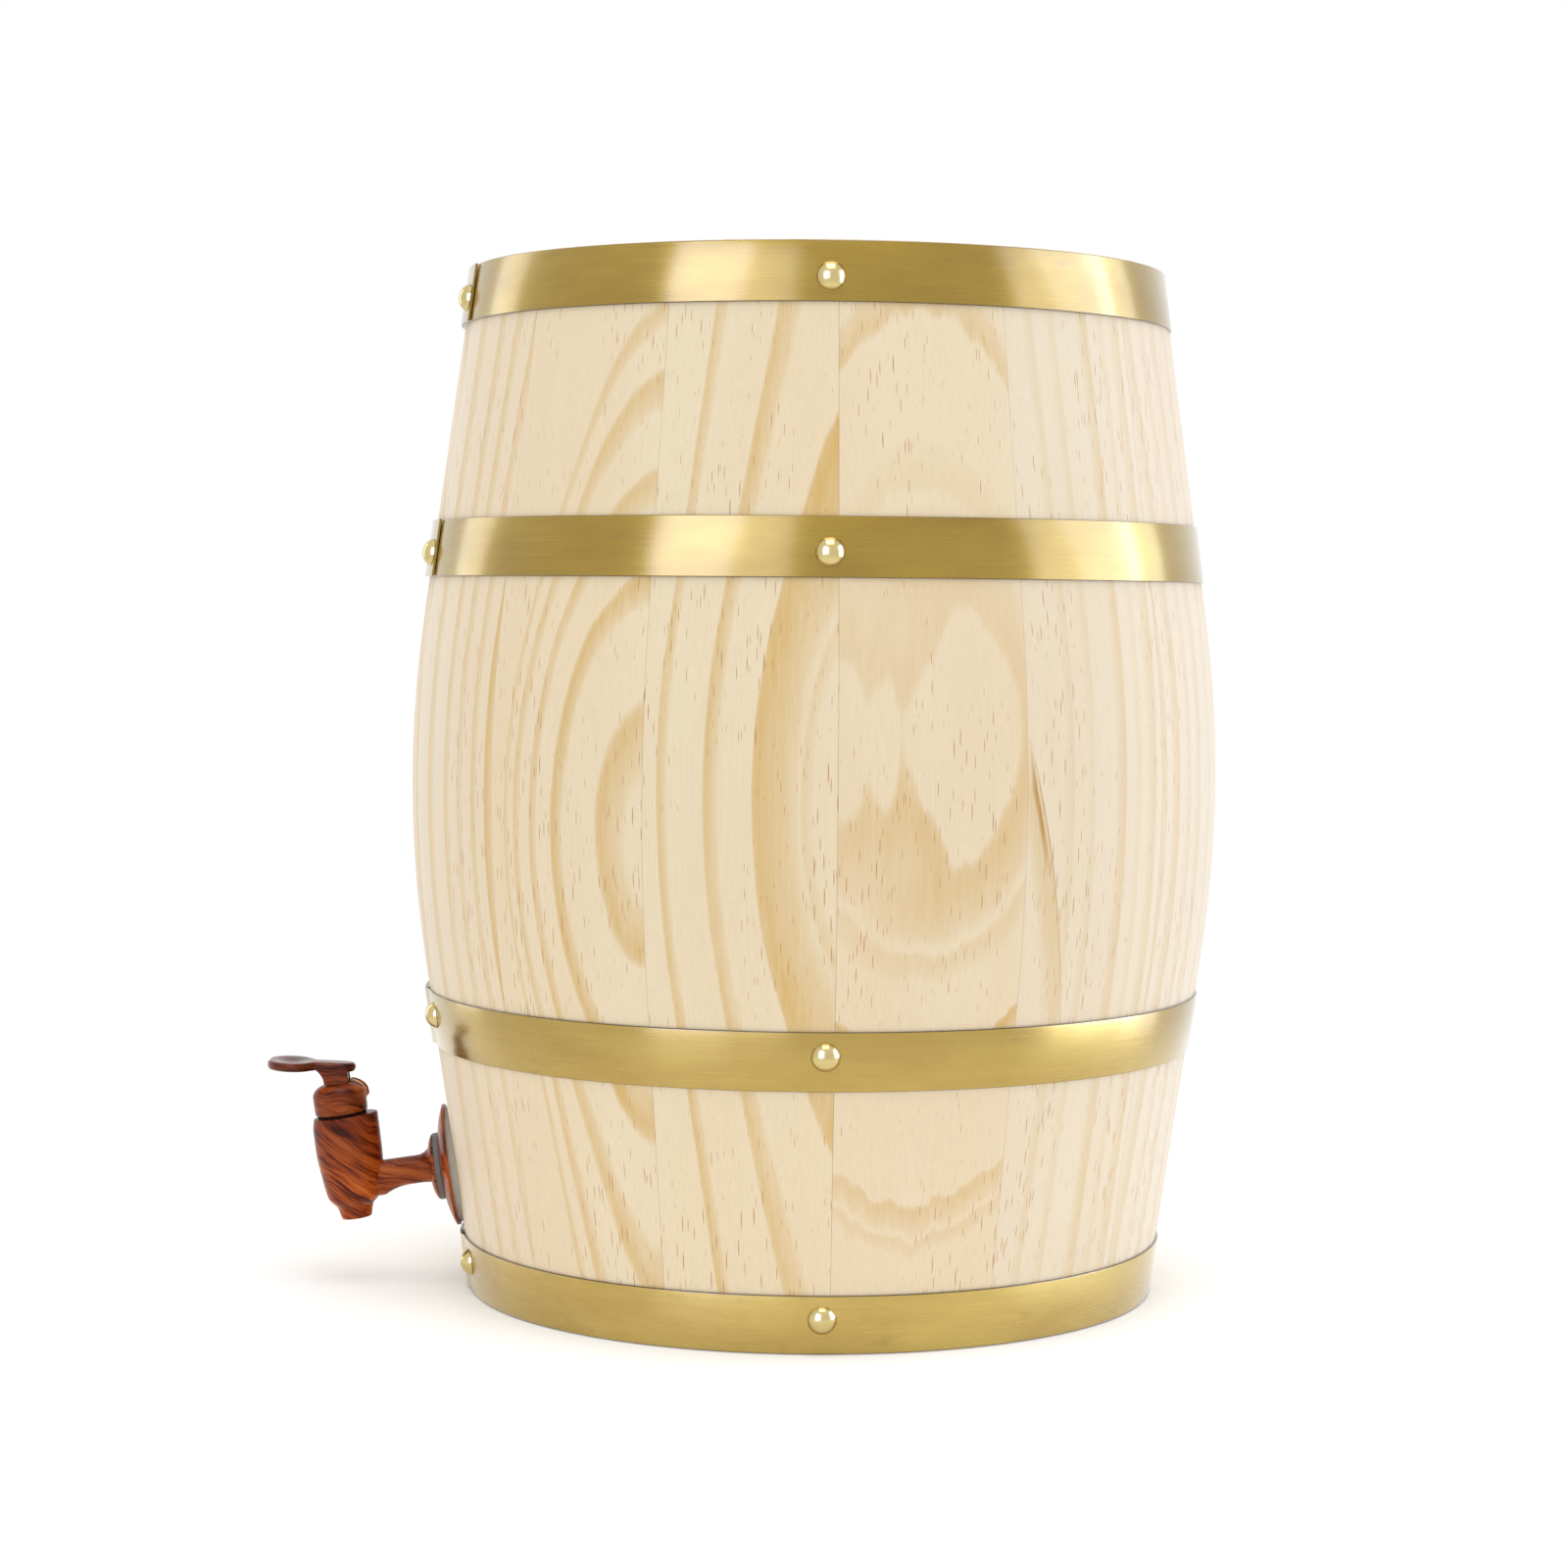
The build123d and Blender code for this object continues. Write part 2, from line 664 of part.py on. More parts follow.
# Lever: two cheeks round the stem's tongue, under a dished paddle
neck_half = lever_neck_length / 2
neck_foot = bonnet_top + lever_gap
paddle_foot = bonnet_top + paddle_rise
paddle_base = valve_origin + up_dir * paddle_foot
level_out = Vector(cos(turn), sin(turn), 0)
lean_in = radians(paddle_tilt)
paddle_plane = Plane(
    paddle_base,
    x_dir=level_out * cos(lean_in) + Vector(0, 0, sin(lean_in)),
    z_dir=Vector(0, 0, cos(lean_in)) - level_out * sin(lean_in),
)
slot_half = tongue_side / 2 + slot_clearance
spoon_at = paddle_tip_reach - spoon_length / 2
tail_half = paddle_tail_width / 2
with BuildPart() as lever:
    with BuildSketch(paddle_plane) as paddle_plan:
        with Locations((spoon_at, 0)):
            Ellipse(spoon_length / 2, paddle_width / 2)
        with Locations(((spoon_at + tail_half - paddle_tail_reach) / 2, 0)):
            SlotCenterToCenter(spoon_at + paddle_tail_reach - tail_half, paddle_tail_width)
        fillet(paddle_plan.vertices().filter_by_position(Axis.X, 0, spoon_at), paddle_blend)
    extrude(paddle_plan.sketch, amount=paddle_thickness)
    with Locations(paddle_plane.offset(paddle_thickness - paddle_dish_depth + paddle_dish_radius)):
        with Locations((spoon_at, 0)):
            Sphere(paddle_dish_radius, mode=Mode.SUBTRACT)
    with BuildSketch(tap_side) as neck_profile:
        with Locations((valve_reach, (neck_foot + paddle_foot + paddle_thickness / 2) / 2)):
            Rectangle(lever_neck_length, paddle_foot + paddle_thickness / 2 - neck_foot)
        with BuildLine():
            front = valve_reach + neck_half
            Polyline(
                (front, paddle_foot - gusset_drop),
                (front + gusset_reach, paddle_foot + gusset_drop / 4),
                (valve_reach, paddle_foot + gusset_drop / 4),
                close=True,
            )
        make_face()
        fillet(neck_profile.vertices().group_by(Axis.Y)[0], heel_round)
    extrude(neck_profile.sketch, amount=lever_neck_width / 2, both=True)
    with BuildSketch(tap_side) as slot_profile:
        slot_top = pin_at + tongue_round + slot_headroom
        with Locations((valve_reach, (slot_top + neck_foot) / 2)):
            Rectangle(2 * lever_neck_length, slot_top - neck_foot)
    extrude(slot_profile.sketch, amount=slot_half, both=True, mode=Mode.SUBTRACT)
    with BuildSketch(tap_side) as socket_profile:
        with Locations((valve_reach, pin_at)):
            Circle(trunnion_radius + trunnion_clearance)
        with Locations((valve_reach, (pin_at + neck_foot) / 2)):
            Rectangle(snap_groove, pin_at - neck_foot)
    socket_depth = tongue_side / 2 + trunnion_length + slot_clearance / 2
    extrude(socket_profile.sketch, amount=socket_depth, both=True, mode=Mode.SUBTRACT)
write_piece(lever, "lever")

pin_point = valve_origin + up_dir * pin_at
print(f"wall taper {degrees(taper):.3f} degrees, valve axis {up_dir}, lever pin at {pin_point}")
print(f"gap between the spring's turns {spring_length / spring_turns - spring_wire:.2f} mm")
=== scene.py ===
import json
import math

import bpy
import numpy as np
from mathutils import Matrix, Vector


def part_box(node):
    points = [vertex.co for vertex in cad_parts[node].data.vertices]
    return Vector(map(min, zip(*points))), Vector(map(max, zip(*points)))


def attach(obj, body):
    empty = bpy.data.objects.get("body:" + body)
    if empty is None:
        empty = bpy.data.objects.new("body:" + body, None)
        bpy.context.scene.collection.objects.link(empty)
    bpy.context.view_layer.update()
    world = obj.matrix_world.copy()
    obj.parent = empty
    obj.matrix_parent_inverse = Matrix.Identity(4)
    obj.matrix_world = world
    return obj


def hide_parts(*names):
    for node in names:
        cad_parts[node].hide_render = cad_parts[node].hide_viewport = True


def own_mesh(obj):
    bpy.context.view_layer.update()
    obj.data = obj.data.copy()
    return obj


# Pine barrel with nailed brass hoops and a press-lever tap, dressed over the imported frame, in metres

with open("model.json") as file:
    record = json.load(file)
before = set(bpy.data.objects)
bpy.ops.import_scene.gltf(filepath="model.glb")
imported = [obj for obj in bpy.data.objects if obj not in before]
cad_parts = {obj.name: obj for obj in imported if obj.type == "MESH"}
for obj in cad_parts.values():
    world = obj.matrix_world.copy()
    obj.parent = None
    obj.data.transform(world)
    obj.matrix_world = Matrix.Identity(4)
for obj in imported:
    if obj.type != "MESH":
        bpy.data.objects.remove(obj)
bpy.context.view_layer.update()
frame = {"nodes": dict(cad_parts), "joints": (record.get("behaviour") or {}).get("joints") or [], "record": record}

mm = 0.001

# Meshes: every shell is a grid of closed loops, worked out as whole arrays

def roundOn(loops):
    # each point's neighbour on its own loop
    return np.roll(loops, -1, axis=1)


def loopShell(grid, wrap=False):
    # quads join each loop to the next; the last joins the first, or fans to the middles close both ends
    rows, cols = grid.shape[:2]
    index = np.arange(rows * cols).reshape(rows, cols)
    near = index if wrap else index[:-1]
    far = np.roll(index, -1, axis=0)[: len(near)]
    quads = np.stack([near, roundOn(near), roundOn(far), far], axis=-1).reshape(-1, 4)
    points = grid.reshape(rows * cols, -1)
    fans = np.zeros((0, 3), int)
    if not wrap:
        first, last = index[:1], index[-1:]
        middle = np.full((1, cols), len(points))
        fans = np.concatenate([
            np.stack([roundOn(first), first, middle], axis=-1)[0],
            np.stack([last, roundOn(last), middle + 1], axis=-1)[0],
        ])
        points = np.vstack([points, grid[0].mean(axis=0), grid[-1].mean(axis=0)])
    corners = np.vstack([quads[:, [0, 1, 2]], quads[:, [0, 2, 3]], fans])
    a, b, c = (points[corners[:, k], :3] for k in range(3))
    if np.einsum("ij,ij->", a, np.cross(b, c)) < 0:  # six times the volume: negative is inside out
        quads, fans = quads[:, ::-1], fans[:, ::-1]
    return points, quads, fans


def makePiece(name, shells, material, body, nodes, sharp=40):
    # joins the shells in one mesh with hard edges past sharp degrees; channels past x, y, z are its UV map
    points, faces, start = [], [], 0
    for shellPoints, quads, fans in shells:
        points.append(shellPoints)
        faces += (quads + start).tolist() + (fans + start).tolist()
        start += len(shellPoints)
    points = np.vstack(points)
    mesh = bpy.data.meshes.new(name)
    mesh.from_pydata(points[:, :3].tolist(), [], faces)
    mesh.polygons.foreach_set("use_smooth", np.ones(len(mesh.polygons), bool))
    if points.shape[1] > 3:
        corner = np.zeros(len(mesh.loops), np.int32)
        mesh.loops.foreach_get("vertex_index", corner)
        mesh.uv_layers.new(name="strip").data.foreach_set("uv", points[corner, 3:].ravel())
    mesh.set_sharp_from_angle(angle=math.radians(sharp))
    mesh.update()
    piece = bpy.data.objects.new(name, mesh)
    bpy.context.scene.collection.objects.link(piece)
    mesh.materials.append(material)
    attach(piece, body)
    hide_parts(*nodes)
    return piece


def fullTurn(steps):
    # that many even angles round a circle
    return np.linspace(0, 2 * np.pi, steps, endpoint=False)


def turnedGrid(profile, centre, axis, aside, steps):
    # each profile point (radius, height) is carried round the axis through centre
    axis, aside = np.array(axis, float), np.array(aside, float)
    across = np.cross(axis, aside)
    angle = fullTurn(steps)
    ring = np.cos(angle)[:, None] * aside + np.sin(angle)[:, None] * across
    profile = np.array(profile, float)
    return np.array(centre) + profile[:, 0, None, None] * ring + profile[:, 1, None, None] * axis


def roundCorner(centre, radius, start, end, steps):
    # points on a circular arc, angles in degrees
    angle = np.radians(np.linspace(start, end, steps))
    return np.stack([centre[0] + radius * np.cos(angle), centre[1] + radius * np.sin(angle)], axis=-1)


def smooth(x):
    # eases from 0 to 1 as x goes from 0 to 1
    x = np.clip(x, 0, 1)
    return x * x * (3 - 2 * x)


# Materials: small helpers for node trees

def node(tree, kind, inputs=None, **settings):
    # one shader node: an input given as a socket is linked, any other value is set
    made = tree.nodes.new("ShaderNode" + kind)
    for key, value in settings.items():
        setattr(made, key, value)
    for key, value in (inputs or {}).items():
        if isinstance(value, bpy.types.NodeSocket):
            tree.links.new(value, made.inputs[key])
        else:
            made.inputs[key].default_value = value
    return made


def calc(tree, operation, *values, clamp=False):
    # one sum on sockets and numbers
    return node(tree, "Math", dict(enumerate(values)), operation=operation, use_clamp=clamp).outputs[0]


def product(tree, first, *others):
    # all the values multiplied
    for value in others:
        first = calc(tree, "MULTIPLY", first, value)
    return first


def share(tree, value, start, end, least=0.0, most=1.0, ease="LINEAR"):
    # how far value has gone from start to end, as a number from least to most
    span = {"Value": value, "From Min": start, "From Max": end, "To Min": least, "To Max": most}
    return node(tree, "MapRange", span, interpolation_type=ease).outputs[0]


def objectPlace(tree):
    # Object coordinates, which are the frame's own
    return node(tree, "TexCoord").outputs["Object"]


def axesOf(tree, vector):
    # x, y and z of a vector
    return node(tree, "SeparateXYZ", {"Vector": vector}).outputs


def noiseAt(tree, vector, pattern, offset=(0, 0, 0)):
    # noise in 0 to 1; pattern: cells per metre along each axis, detail and roughness; offset keeps it apart
    scale, detail, rough = pattern
    placed = node(tree, "Mapping", {"Vector": vector, "Scale": scale, "Location": offset}).outputs[0]
    inputs = {"Vector": placed, "Scale": 1.0, "Detail": detail, "Roughness": rough}
    return node(tree, "TexNoise", inputs).outputs["Fac"]


def ramp(tree, factor, stops):
    # straight steps through stops of (place, grey or colour)
    made = node(tree, "ValToRGB", {"Fac": factor})
    band = made.color_ramp
    while len(band.elements) < len(stops):
        band.elements.new(0.5)
    for element, (place, value) in zip(band.elements, stops):
        element.position = place
        element.color = (value, value, value, 1) if isinstance(value, float) else (*value, 1)
    return made.outputs["Color"]


def mixColour(tree, factor, first, second, blend="MIX"):
    # from the first colour to the second by factor; the numbers are the Mix node's colour sockets
    first, second = (c if isinstance(c, bpy.types.NodeSocket) else (*c, 1) for c in (first, second))
    sockets = {0: factor, 6: first, 7: second}
    return node(tree, "Mix", sockets, data_type="RGBA", blend_type=blend).outputs[2]


def tinted(colour, tint):
    # each channel times its own tint
    return tuple(c * k for c, k in zip(colour, tint))


def newMaterial(name):
    # a material with an empty node tree
    material = bpy.data.materials.new(name)
    material.use_nodes = True
    material.node_tree.nodes.clear()
    return material, material.node_tree


def finishSurface(tree, inputs, height, bump, reach):
    # the shader at the end of a tree, with a bump made from height that stands up by reach
    shader = node(tree, "BsdfPrincipled", inputs)
    raised = node(tree, "Bump", {"Height": height, "Strength": bump, "Distance": reach})
    tree.links.new(raised.outputs[0], shader.inputs["Normal"])
    out = node(tree, "OutputMaterial")
    tree.links.new(shader.outputs[0], out.inputs["Surface"])


mottled = {"detail": 4.0, "rough": 0.5, "bumpReach": 0.3 * mm}


def plainMaterial(name, colour, roughness, metallic=0.0, grain=400.0, tone=0.12, bump=0.05, shine=0.5):
    # one colour with a fine mottle of so many cells per metre in its tone, and a fine bump
    material, tree = newMaterial(name)
    mottle = noiseAt(tree, objectPlace(tree), ((grain,) * 3, mottled["detail"], mottled["rough"]))
    base = mixColour(tree, mottle, tinted(colour, (1 - tone,) * 3), tinted(colour, (1 + tone,) * 3))
    inputs = {"Base Color": base, "Roughness": roughness, "Metallic": metallic, "Specular IOR Level": shine}
    finishSurface(tree, inputs, mottle, bump, mottled["bumpReach"])
    return material


# Barrel shell: a straight taper at each end, tangent to the bilge arc between them

barrel = {
    "height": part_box("stave_01")[1].z,
    "bilge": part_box("stave_08")[1].y,  # outer radius at the middle
    "rim": 110.5 * mm,
    "straightRun": 110 * mm,
    "wall": 12 * mm,
    "staves": 14,
    "tapTurn": math.radians(-90),
    "rounds": 50,  # repeats that settle the taper
}
barrel["middle"] = barrel["height"] / 2
barrel["arcHalf"] = barrel["middle"] - barrel["straightRun"]
halfTan = 0.0
for _ in range(barrel["rounds"]):
    length = 2 * barrel["straightRun"] / (1 - halfTan**2) + barrel["arcHalf"]
    halfTan = (barrel["bilge"] - barrel["rim"]) / length
taper = 2 * math.atan(halfTan)
arcRadius = barrel["arcHalf"] / math.sin(taper)
staveAngle = 2 * math.pi / barrel["staves"]


def wallRadius(z):
    # outer radius: the bilge arc in the middle, then straight tapers
    off = np.abs(z - barrel["middle"])
    arc = barrel["bilge"] - arcRadius + np.sqrt(arcRadius**2 - np.minimum(off, barrel["arcHalf"]) ** 2)
    return arc - math.tan(taper) * np.maximum(off - barrel["arcHalf"], 0)


def wallPoint(along, out, atTop):
    # radius and height of a point that far along the taper from a rim and that far off the wood
    radius = barrel["rim"] + along * math.sin(taper) + out * math.cos(taper)
    height = along * math.cos(taper) - out * math.sin(taper)
    return radius, barrel["height"] - height if atTop else height


# Pine: growth rings are shells round a pith line, cut by the curved face of the stave

pine = {
    "early": (0.800, 0.678, 0.475),
    "warm": (0.782, 0.630, 0.415),  # rosy drift of the early wood
    "late": (0.640, 0.410, 0.115),
    "bow": 0.45,  # radius of the barrel's profile, which the torn edges follow
    "shift": (3.7, 1.9, 5.3),  # moves the patterns from board to board
    # noise: cells per metre out, across and along the board, detail and roughness
    "tear": ((200, 200, 4), 3.0, 0.6),
    "wander": ((16, 16, 6), 2.0, 0.5),
    "waver": ((90, 90, 14), 4.0, 0.6),
    "bandWander": 1 * mm, "ringWander": 7 * mm, "waverShare": 0.7,  # the waver is that share of the wander
    "patch": ((26, 26, 6), 3.0, 0.5),
    "threads": ((420, 420, 6), 3.0, 0.6),
    "threadShare": 0.9,
    "leastLate": 0.05,
    "drift": ((20, 20, 4), 3.0, 0.5),
    "driftStops": [(0.35, 0.0), (0.65, 1.0)],
    "fibre": ((1500, 1500, 20), 3.0, 0.6),
    "fibreStops": [(0.28, 0.955), (0.74, 1.03)],
    "roughness": 0.43, "fibreRoughness": 0.14,
    "sheen": 0.3, "sheenRoughness": 0.5,
    "bump": 0.08, "bumpReach": 0.2 * mm,
}
latewood = {
    # a band's tone by shares of the fade before its edge, then of the soft length behind it
    "rise": [(-1.0, 0.0), (-0.75, 0.5), (-0.15, 1.0)],
    "drop": [(0.2, 0.85), (1.0, 0.0)],
    # an even ring's tone from its start to its sharp end
    "ring": [(0.0, 0.0), (0.30, 0.06), (0.60, 0.30), (0.80, 0.68), (0.93, 1.0), (0.965, 1.0), (1.0, 0.0)],
    "seedStep": 7.1, "widthScale": 0.8, "widthChange": 1.1,
    "leastDepth": 0.25, "moreDepth": 0.6,
}
fleck = {
    "colour": (0.42, 0.140, 0.025),
    "cells": (0, 1050, 56),  # per metre, narrow across the board and long down it
    "crowd": ((45, 45, 12), 3.0, 0.5),
    "crowdStops": [(0.38, 0.20), (0.58, 1.0)],
    "size": 0.19, "sharp": 20.0, "cover": 0.82,
}


def ringStops(bands, soft):
    # late wood of each band: a slow rise over its fade, a level top, then a short drop; distances in mm
    low, high = bands[0][0] - bands[0][1] - 1, bands[-1][0] + 1
    stops = []
    for edge, fade, strength in bands:
        tones = [(edge + part * fade, tone) for part, tone in latewood["rise"]]
        tones += [(edge + part * soft, tone) for part, tone in latewood["drop"]]
        stops += [((at - low) / (high - low), tone * strength) for at, tone in tones]
    return low, high, stops


def ringTone(tree, far, grown, seed):
    # bands at their own distances, or rings of an even step that vary in width and depth
    if "bands" in grown:
        low, high, stops = ringStops(grown["bands"], grown["soft"])
        return ramp(tree, share(tree, far, low * mm, high * mm), stops)
    rings = calc(tree, "DIVIDE", far, grown["step"])
    places = {"W": calc(tree, "ADD", rings, seed * latewood["seedStep"]),
              "Scale": latewood["widthScale"], "Detail": 1.0}
    uneven = node(tree, "TexNoise", places, noise_dimensions="1D").outputs["Fac"]
    rings = calc(tree, "MULTIPLY_ADD", uneven, latewood["widthChange"], rings)
    ringNumber = calc(tree, "ADD", calc(tree, "FLOOR", rings), seed)
    luck = node(tree, "TexWhiteNoise", {"W": ringNumber}, noise_dimensions="1D").outputs["Value"]
    late = ramp(tree, calc(tree, "FRACT", rings), latewood["ring"])
    depth = calc(tree, "MULTIPLY_ADD", luck, latewood["moreDepth"], latewood["leastDepth"])
    return calc(tree, "MULTIPLY", late, depth)


def dentedRings(tree, far, across, up, dent):
    # near the middle of the board the rings dip by the dent's depth, a curve across the board in mm
    places, depths = zip(*dent["curve"])
    first, last = places[0], places[-1]
    least, span = min(depths), max(depths) - min(depths)
    stops = [((at - first) / (last - first), (depth - least) / span) for at, depth in dent["curve"]]
    curve = ramp(tree, share(tree, across, first * mm, last * mm), stops)
    depth = calc(tree, "MULTIPLY_ADD", curve, span * mm, least * mm)
    away = calc(tree, "ABSOLUTE", calc(tree, "SUBTRACT", up, dent["at"]))
    near = share(tree, away, dent["ends"], dent["full"], ease="SMOOTHSTEP")
    return calc(tree, "SUBTRACT", far, calc(tree, "MULTIPLY", depth, near))


def resinFlecks(tree, colour, local, shift, seed):
    # one thin dash in some cells of a stretched cell pattern, larger where the crowd noise is high
    placed = node(tree, "Mapping", {"Vector": local, "Scale": fleck["cells"], "Location": shift}).outputs[0]
    _, across, along = axesOf(tree, placed)
    flat = node(tree, "CombineXYZ", {"X": across, "Y": along}).outputs[0]
    cell = node(tree, "TexVoronoi", {"Vector": flat, "Scale": 1.0}, voronoi_dimensions="2D").outputs
    chance = node(tree, "SeparateColor", {"Color": cell["Color"]}).outputs[0]
    crowd = ramp(tree, noiseAt(tree, local, fleck["crowd"], (seed, 7, seed)), fleck["crowdStops"])
    inside = calc(tree, "SUBTRACT", product(tree, chance, fleck["size"], crowd), cell["Distance"])
    dash = calc(tree, "MULTIPLY", inside, fleck["sharp"], clamp=True)
    return mixColour(tree, calc(tree, "MULTIPLY", dash, fleck["cover"]), colour, fleck["colour"])


def resinStreak(tree, colour, across, up, local, streak):
    # bands beside a line that leans and bends with height; near its top they close up to a point
    sway = calc(tree, "SUBTRACT", noiseAt(tree, local, streak["sway"], (2, 5, 8)), 0.5)
    off = calc(tree, "MULTIPLY_ADD", sway, streak["swayReach"], across)
    lean = calc(tree, "MULTIPLY_ADD", up, streak["curve"], streak["tilt"])
    off = calc(tree, "SUBTRACT", calc(tree, "MULTIPLY_ADD", up, lean, off), streak["at"])
    inside = share(tree, up, *streak["top"])
    closing = calc(tree, "MULTIPLY_ADD", inside, 1 - streak["point"], streak["point"])
    off = calc(tree, "DIVIDE", off, closing)
    threads = noiseAt(tree, local, streak["threads"], (4, 1, 2))
    threads = calc(tree, "MULTIPLY_ADD", threads, streak["moreCover"], streak["leastCover"])
    for left, right, foot, length, strength, tone in streak["layers"]:
        rise = share(tree, off, left, (left + right) / 2)
        drop = share(tree, off, right, right - streak["edge"])
        low = share(tree, up, foot, foot + length)
        cover = product(tree, rise, drop, inside, low, threads)
        colour = mixColour(tree, calc(tree, "MULTIPLY", cover, strength, clamp=True), colour, tone)
    return colour


def pineMaterial(name, rotation, grown, seed):
    # tone = how far through its ring a point is, by its distance from the pith; turned, the grain runs up z
    material, tree = newMaterial(name)
    local = node(tree, "Mapping", {"Vector": objectPlace(tree), "Rotation": rotation}).outputs[0]
    outward, across, along = axesOf(tree, local)
    shift = tuple(seed * part for part in pine["shift"])
    height = calc(tree, "SUBTRACT", along, grown["middle"])
    up = height
    if "skew" in grown:
        up = calc(tree, "MULTIPLY_ADD", across, -grown["skew"], height)
    pithOut, pithAside, lean, bend = grown["pith"]
    pith = calc(tree, "MULTIPLY_ADD", up, calc(tree, "MULTIPLY_ADD", up, bend, lean), pithOut)
    deep = calc(tree, "SUBTRACT", pith, outward)
    aside = calc(tree, "SUBTRACT", across, pithAside)
    # torn edges: each fibre is shifted along the grain, which moves a ring only where it runs out
    tear = calc(tree, "SUBTRACT", noiseAt(tree, local, pine["tear"], shift), 0.5)
    slip = calc(tree, "MULTIPLY", tear, 2 * grown["tear"])
    bowed = calc(tree, "DIVIDE", calc(tree, "MULTIPLY_ADD", slip, 0.5, up), pine["bow"])
    deep = calc(tree, "MULTIPLY_ADD", slip, calc(tree, "ADD", bowed, lean), deep)
    square = calc(tree, "MULTIPLY_ADD", deep, deep, calc(tree, "MULTIPLY", aside, aside))
    # the distance wanders about its own value
    wander, waver = grown["wander"], grown["wander"] * pine["waverShare"]
    far = calc(tree, "SQRT", square)
    far = calc(tree, "MULTIPLY_ADD", noiseAt(tree, local, pine["wander"], shift), wander, far)
    far = calc(tree, "MULTIPLY_ADD", noiseAt(tree, local, pine["waver"], shift), waver, far)
    far = calc(tree, "SUBTRACT", far, (wander + waver) / 2)
    if "dent" in grown:
        far = dentedRings(tree, far, across, up, grown["dent"])
    late = ringTone(tree, far, grown, seed)
    patch = noiseAt(tree, local, pine["patch"], (seed, 2 * seed, 0))
    threads = noiseAt(tree, local, pine["threads"], shift)
    depth = calc(tree, "ADD", patch, pine["leastLate"])
    depth = calc(tree, "MULTIPLY_ADD", threads, pine["threadShare"], depth)
    if "fade" in grown:
        start, end, least = grown["fade"]
        depth = calc(tree, "MULTIPLY", depth, share(tree, height, start, end, 1.0, least))
    late = calc(tree, "MULTIPLY", late, depth, clamp=True)
    drift = ramp(tree, noiseAt(tree, local, pine["drift"], (3, seed, 3)), pine["driftStops"])
    early, warm, dark = (tinted(pine[tone], grown["tint"]) for tone in ("early", "warm", "late"))
    colour = mixColour(tree, late, mixColour(tree, drift, early, warm), dark)
    fibre = noiseAt(tree, local, pine["fibre"], shift)
    colour = mixColour(tree, 1.0, colour, ramp(tree, fibre, pine["fibreStops"]), "MULTIPLY")
    colour = resinFlecks(tree, colour, local, shift, seed)
    if "streak" in grown:
        colour = resinStreak(tree, colour, across, height, local, grown["streak"])
    rough = calc(tree, "MULTIPLY_ADD", fibre, pine["fibreRoughness"], pine["roughness"])
    inputs = {"Base Color": colour, "Roughness": rough,
              "Sheen Weight": pine["sheen"], "Sheen Roughness": pine["sheenRoughness"]}
    finishSurface(tree, inputs, fibre, pine["bump"], pine["bumpReach"])
    return material


# Staves: a horizontal section of each board, carried up the wall

stave = {
    "arris": 0.14 * mm, "arrisSteps": 4, "gap": 0.02 * mm,
    "chime": 3 * mm, "plainFrom": 6 * mm,  # the end bevel, and where the even rows start
    "crozeLow": 17.4 * mm, "crozeHigh": 22.6 * mm, "crozeDepth": 4 * mm, "crozeWall": 0.03 * mm,
    "faceSteps": 24, "rows": 70,
}


def grainFigure(out, aside, lean, bend=0.0, tear=0.0, tint=(1, 1, 1), soft=0.3, **more):
    # pith: how far out from the barrel's axis, how far aside, its lean and its bend with height
    wander = pine["bandWander"] if "bands" in more else pine["ringWander"]
    made = {"pith": (out, aside, lean, bend), "tear": tear, "tint": tint, "soft": soft, "wander": wander}
    return {**made, "middle": barrel["middle"], **more}


ovalDent = {
    "at": 20 * mm, "full": 30 * mm, "ends": 55 * mm,
    "curve": [  # place across the board, depth
        (-30, -1.0), (-24.6, 0.1), (-20.6, 1.3), (-17, 1.6), (-14.5, 1.7), (-10.7, 2.5), (-7.5, 2.45),
        (-3.9, 2.2), (0, 1.9), (3, 1.2), (6, 0.5), (11, 0.1), (20, 0.1), (30, -0.35),
    ],
}
resinLine = {
    "at": -23 * mm, "tilt": 0.222, "curve": 0.62, "edge": 0.3 * mm,
    "top": (21 * mm, 4 * mm), "point": 0.2,  # where it starts and is whole, and its width at the start
    "sway": ((30, 30, 22), 3.0, 0.5), "swayReach": 1.5 * mm,
    "threads": ((900, 900, 60), 3.0, 0.65), "leastCover": 0.4, "moreCover": 1.2,
    "layers": [  # left and right edge, foot, length of the fade above it, strength and colour
        (-9.0 * mm, 0.0, -95 * mm, 60 * mm, 0.45, pine["late"]),
        (-3.5 * mm, -1.3 * mm, -22 * mm, 14 * mm, 0.90, (0.46, 0.245, 0.055)),
        (-0.55 * mm, 0.0, -80 * mm, 70 * mm, 0.85, (0.36, 0.175, 0.040)),
    ],
}

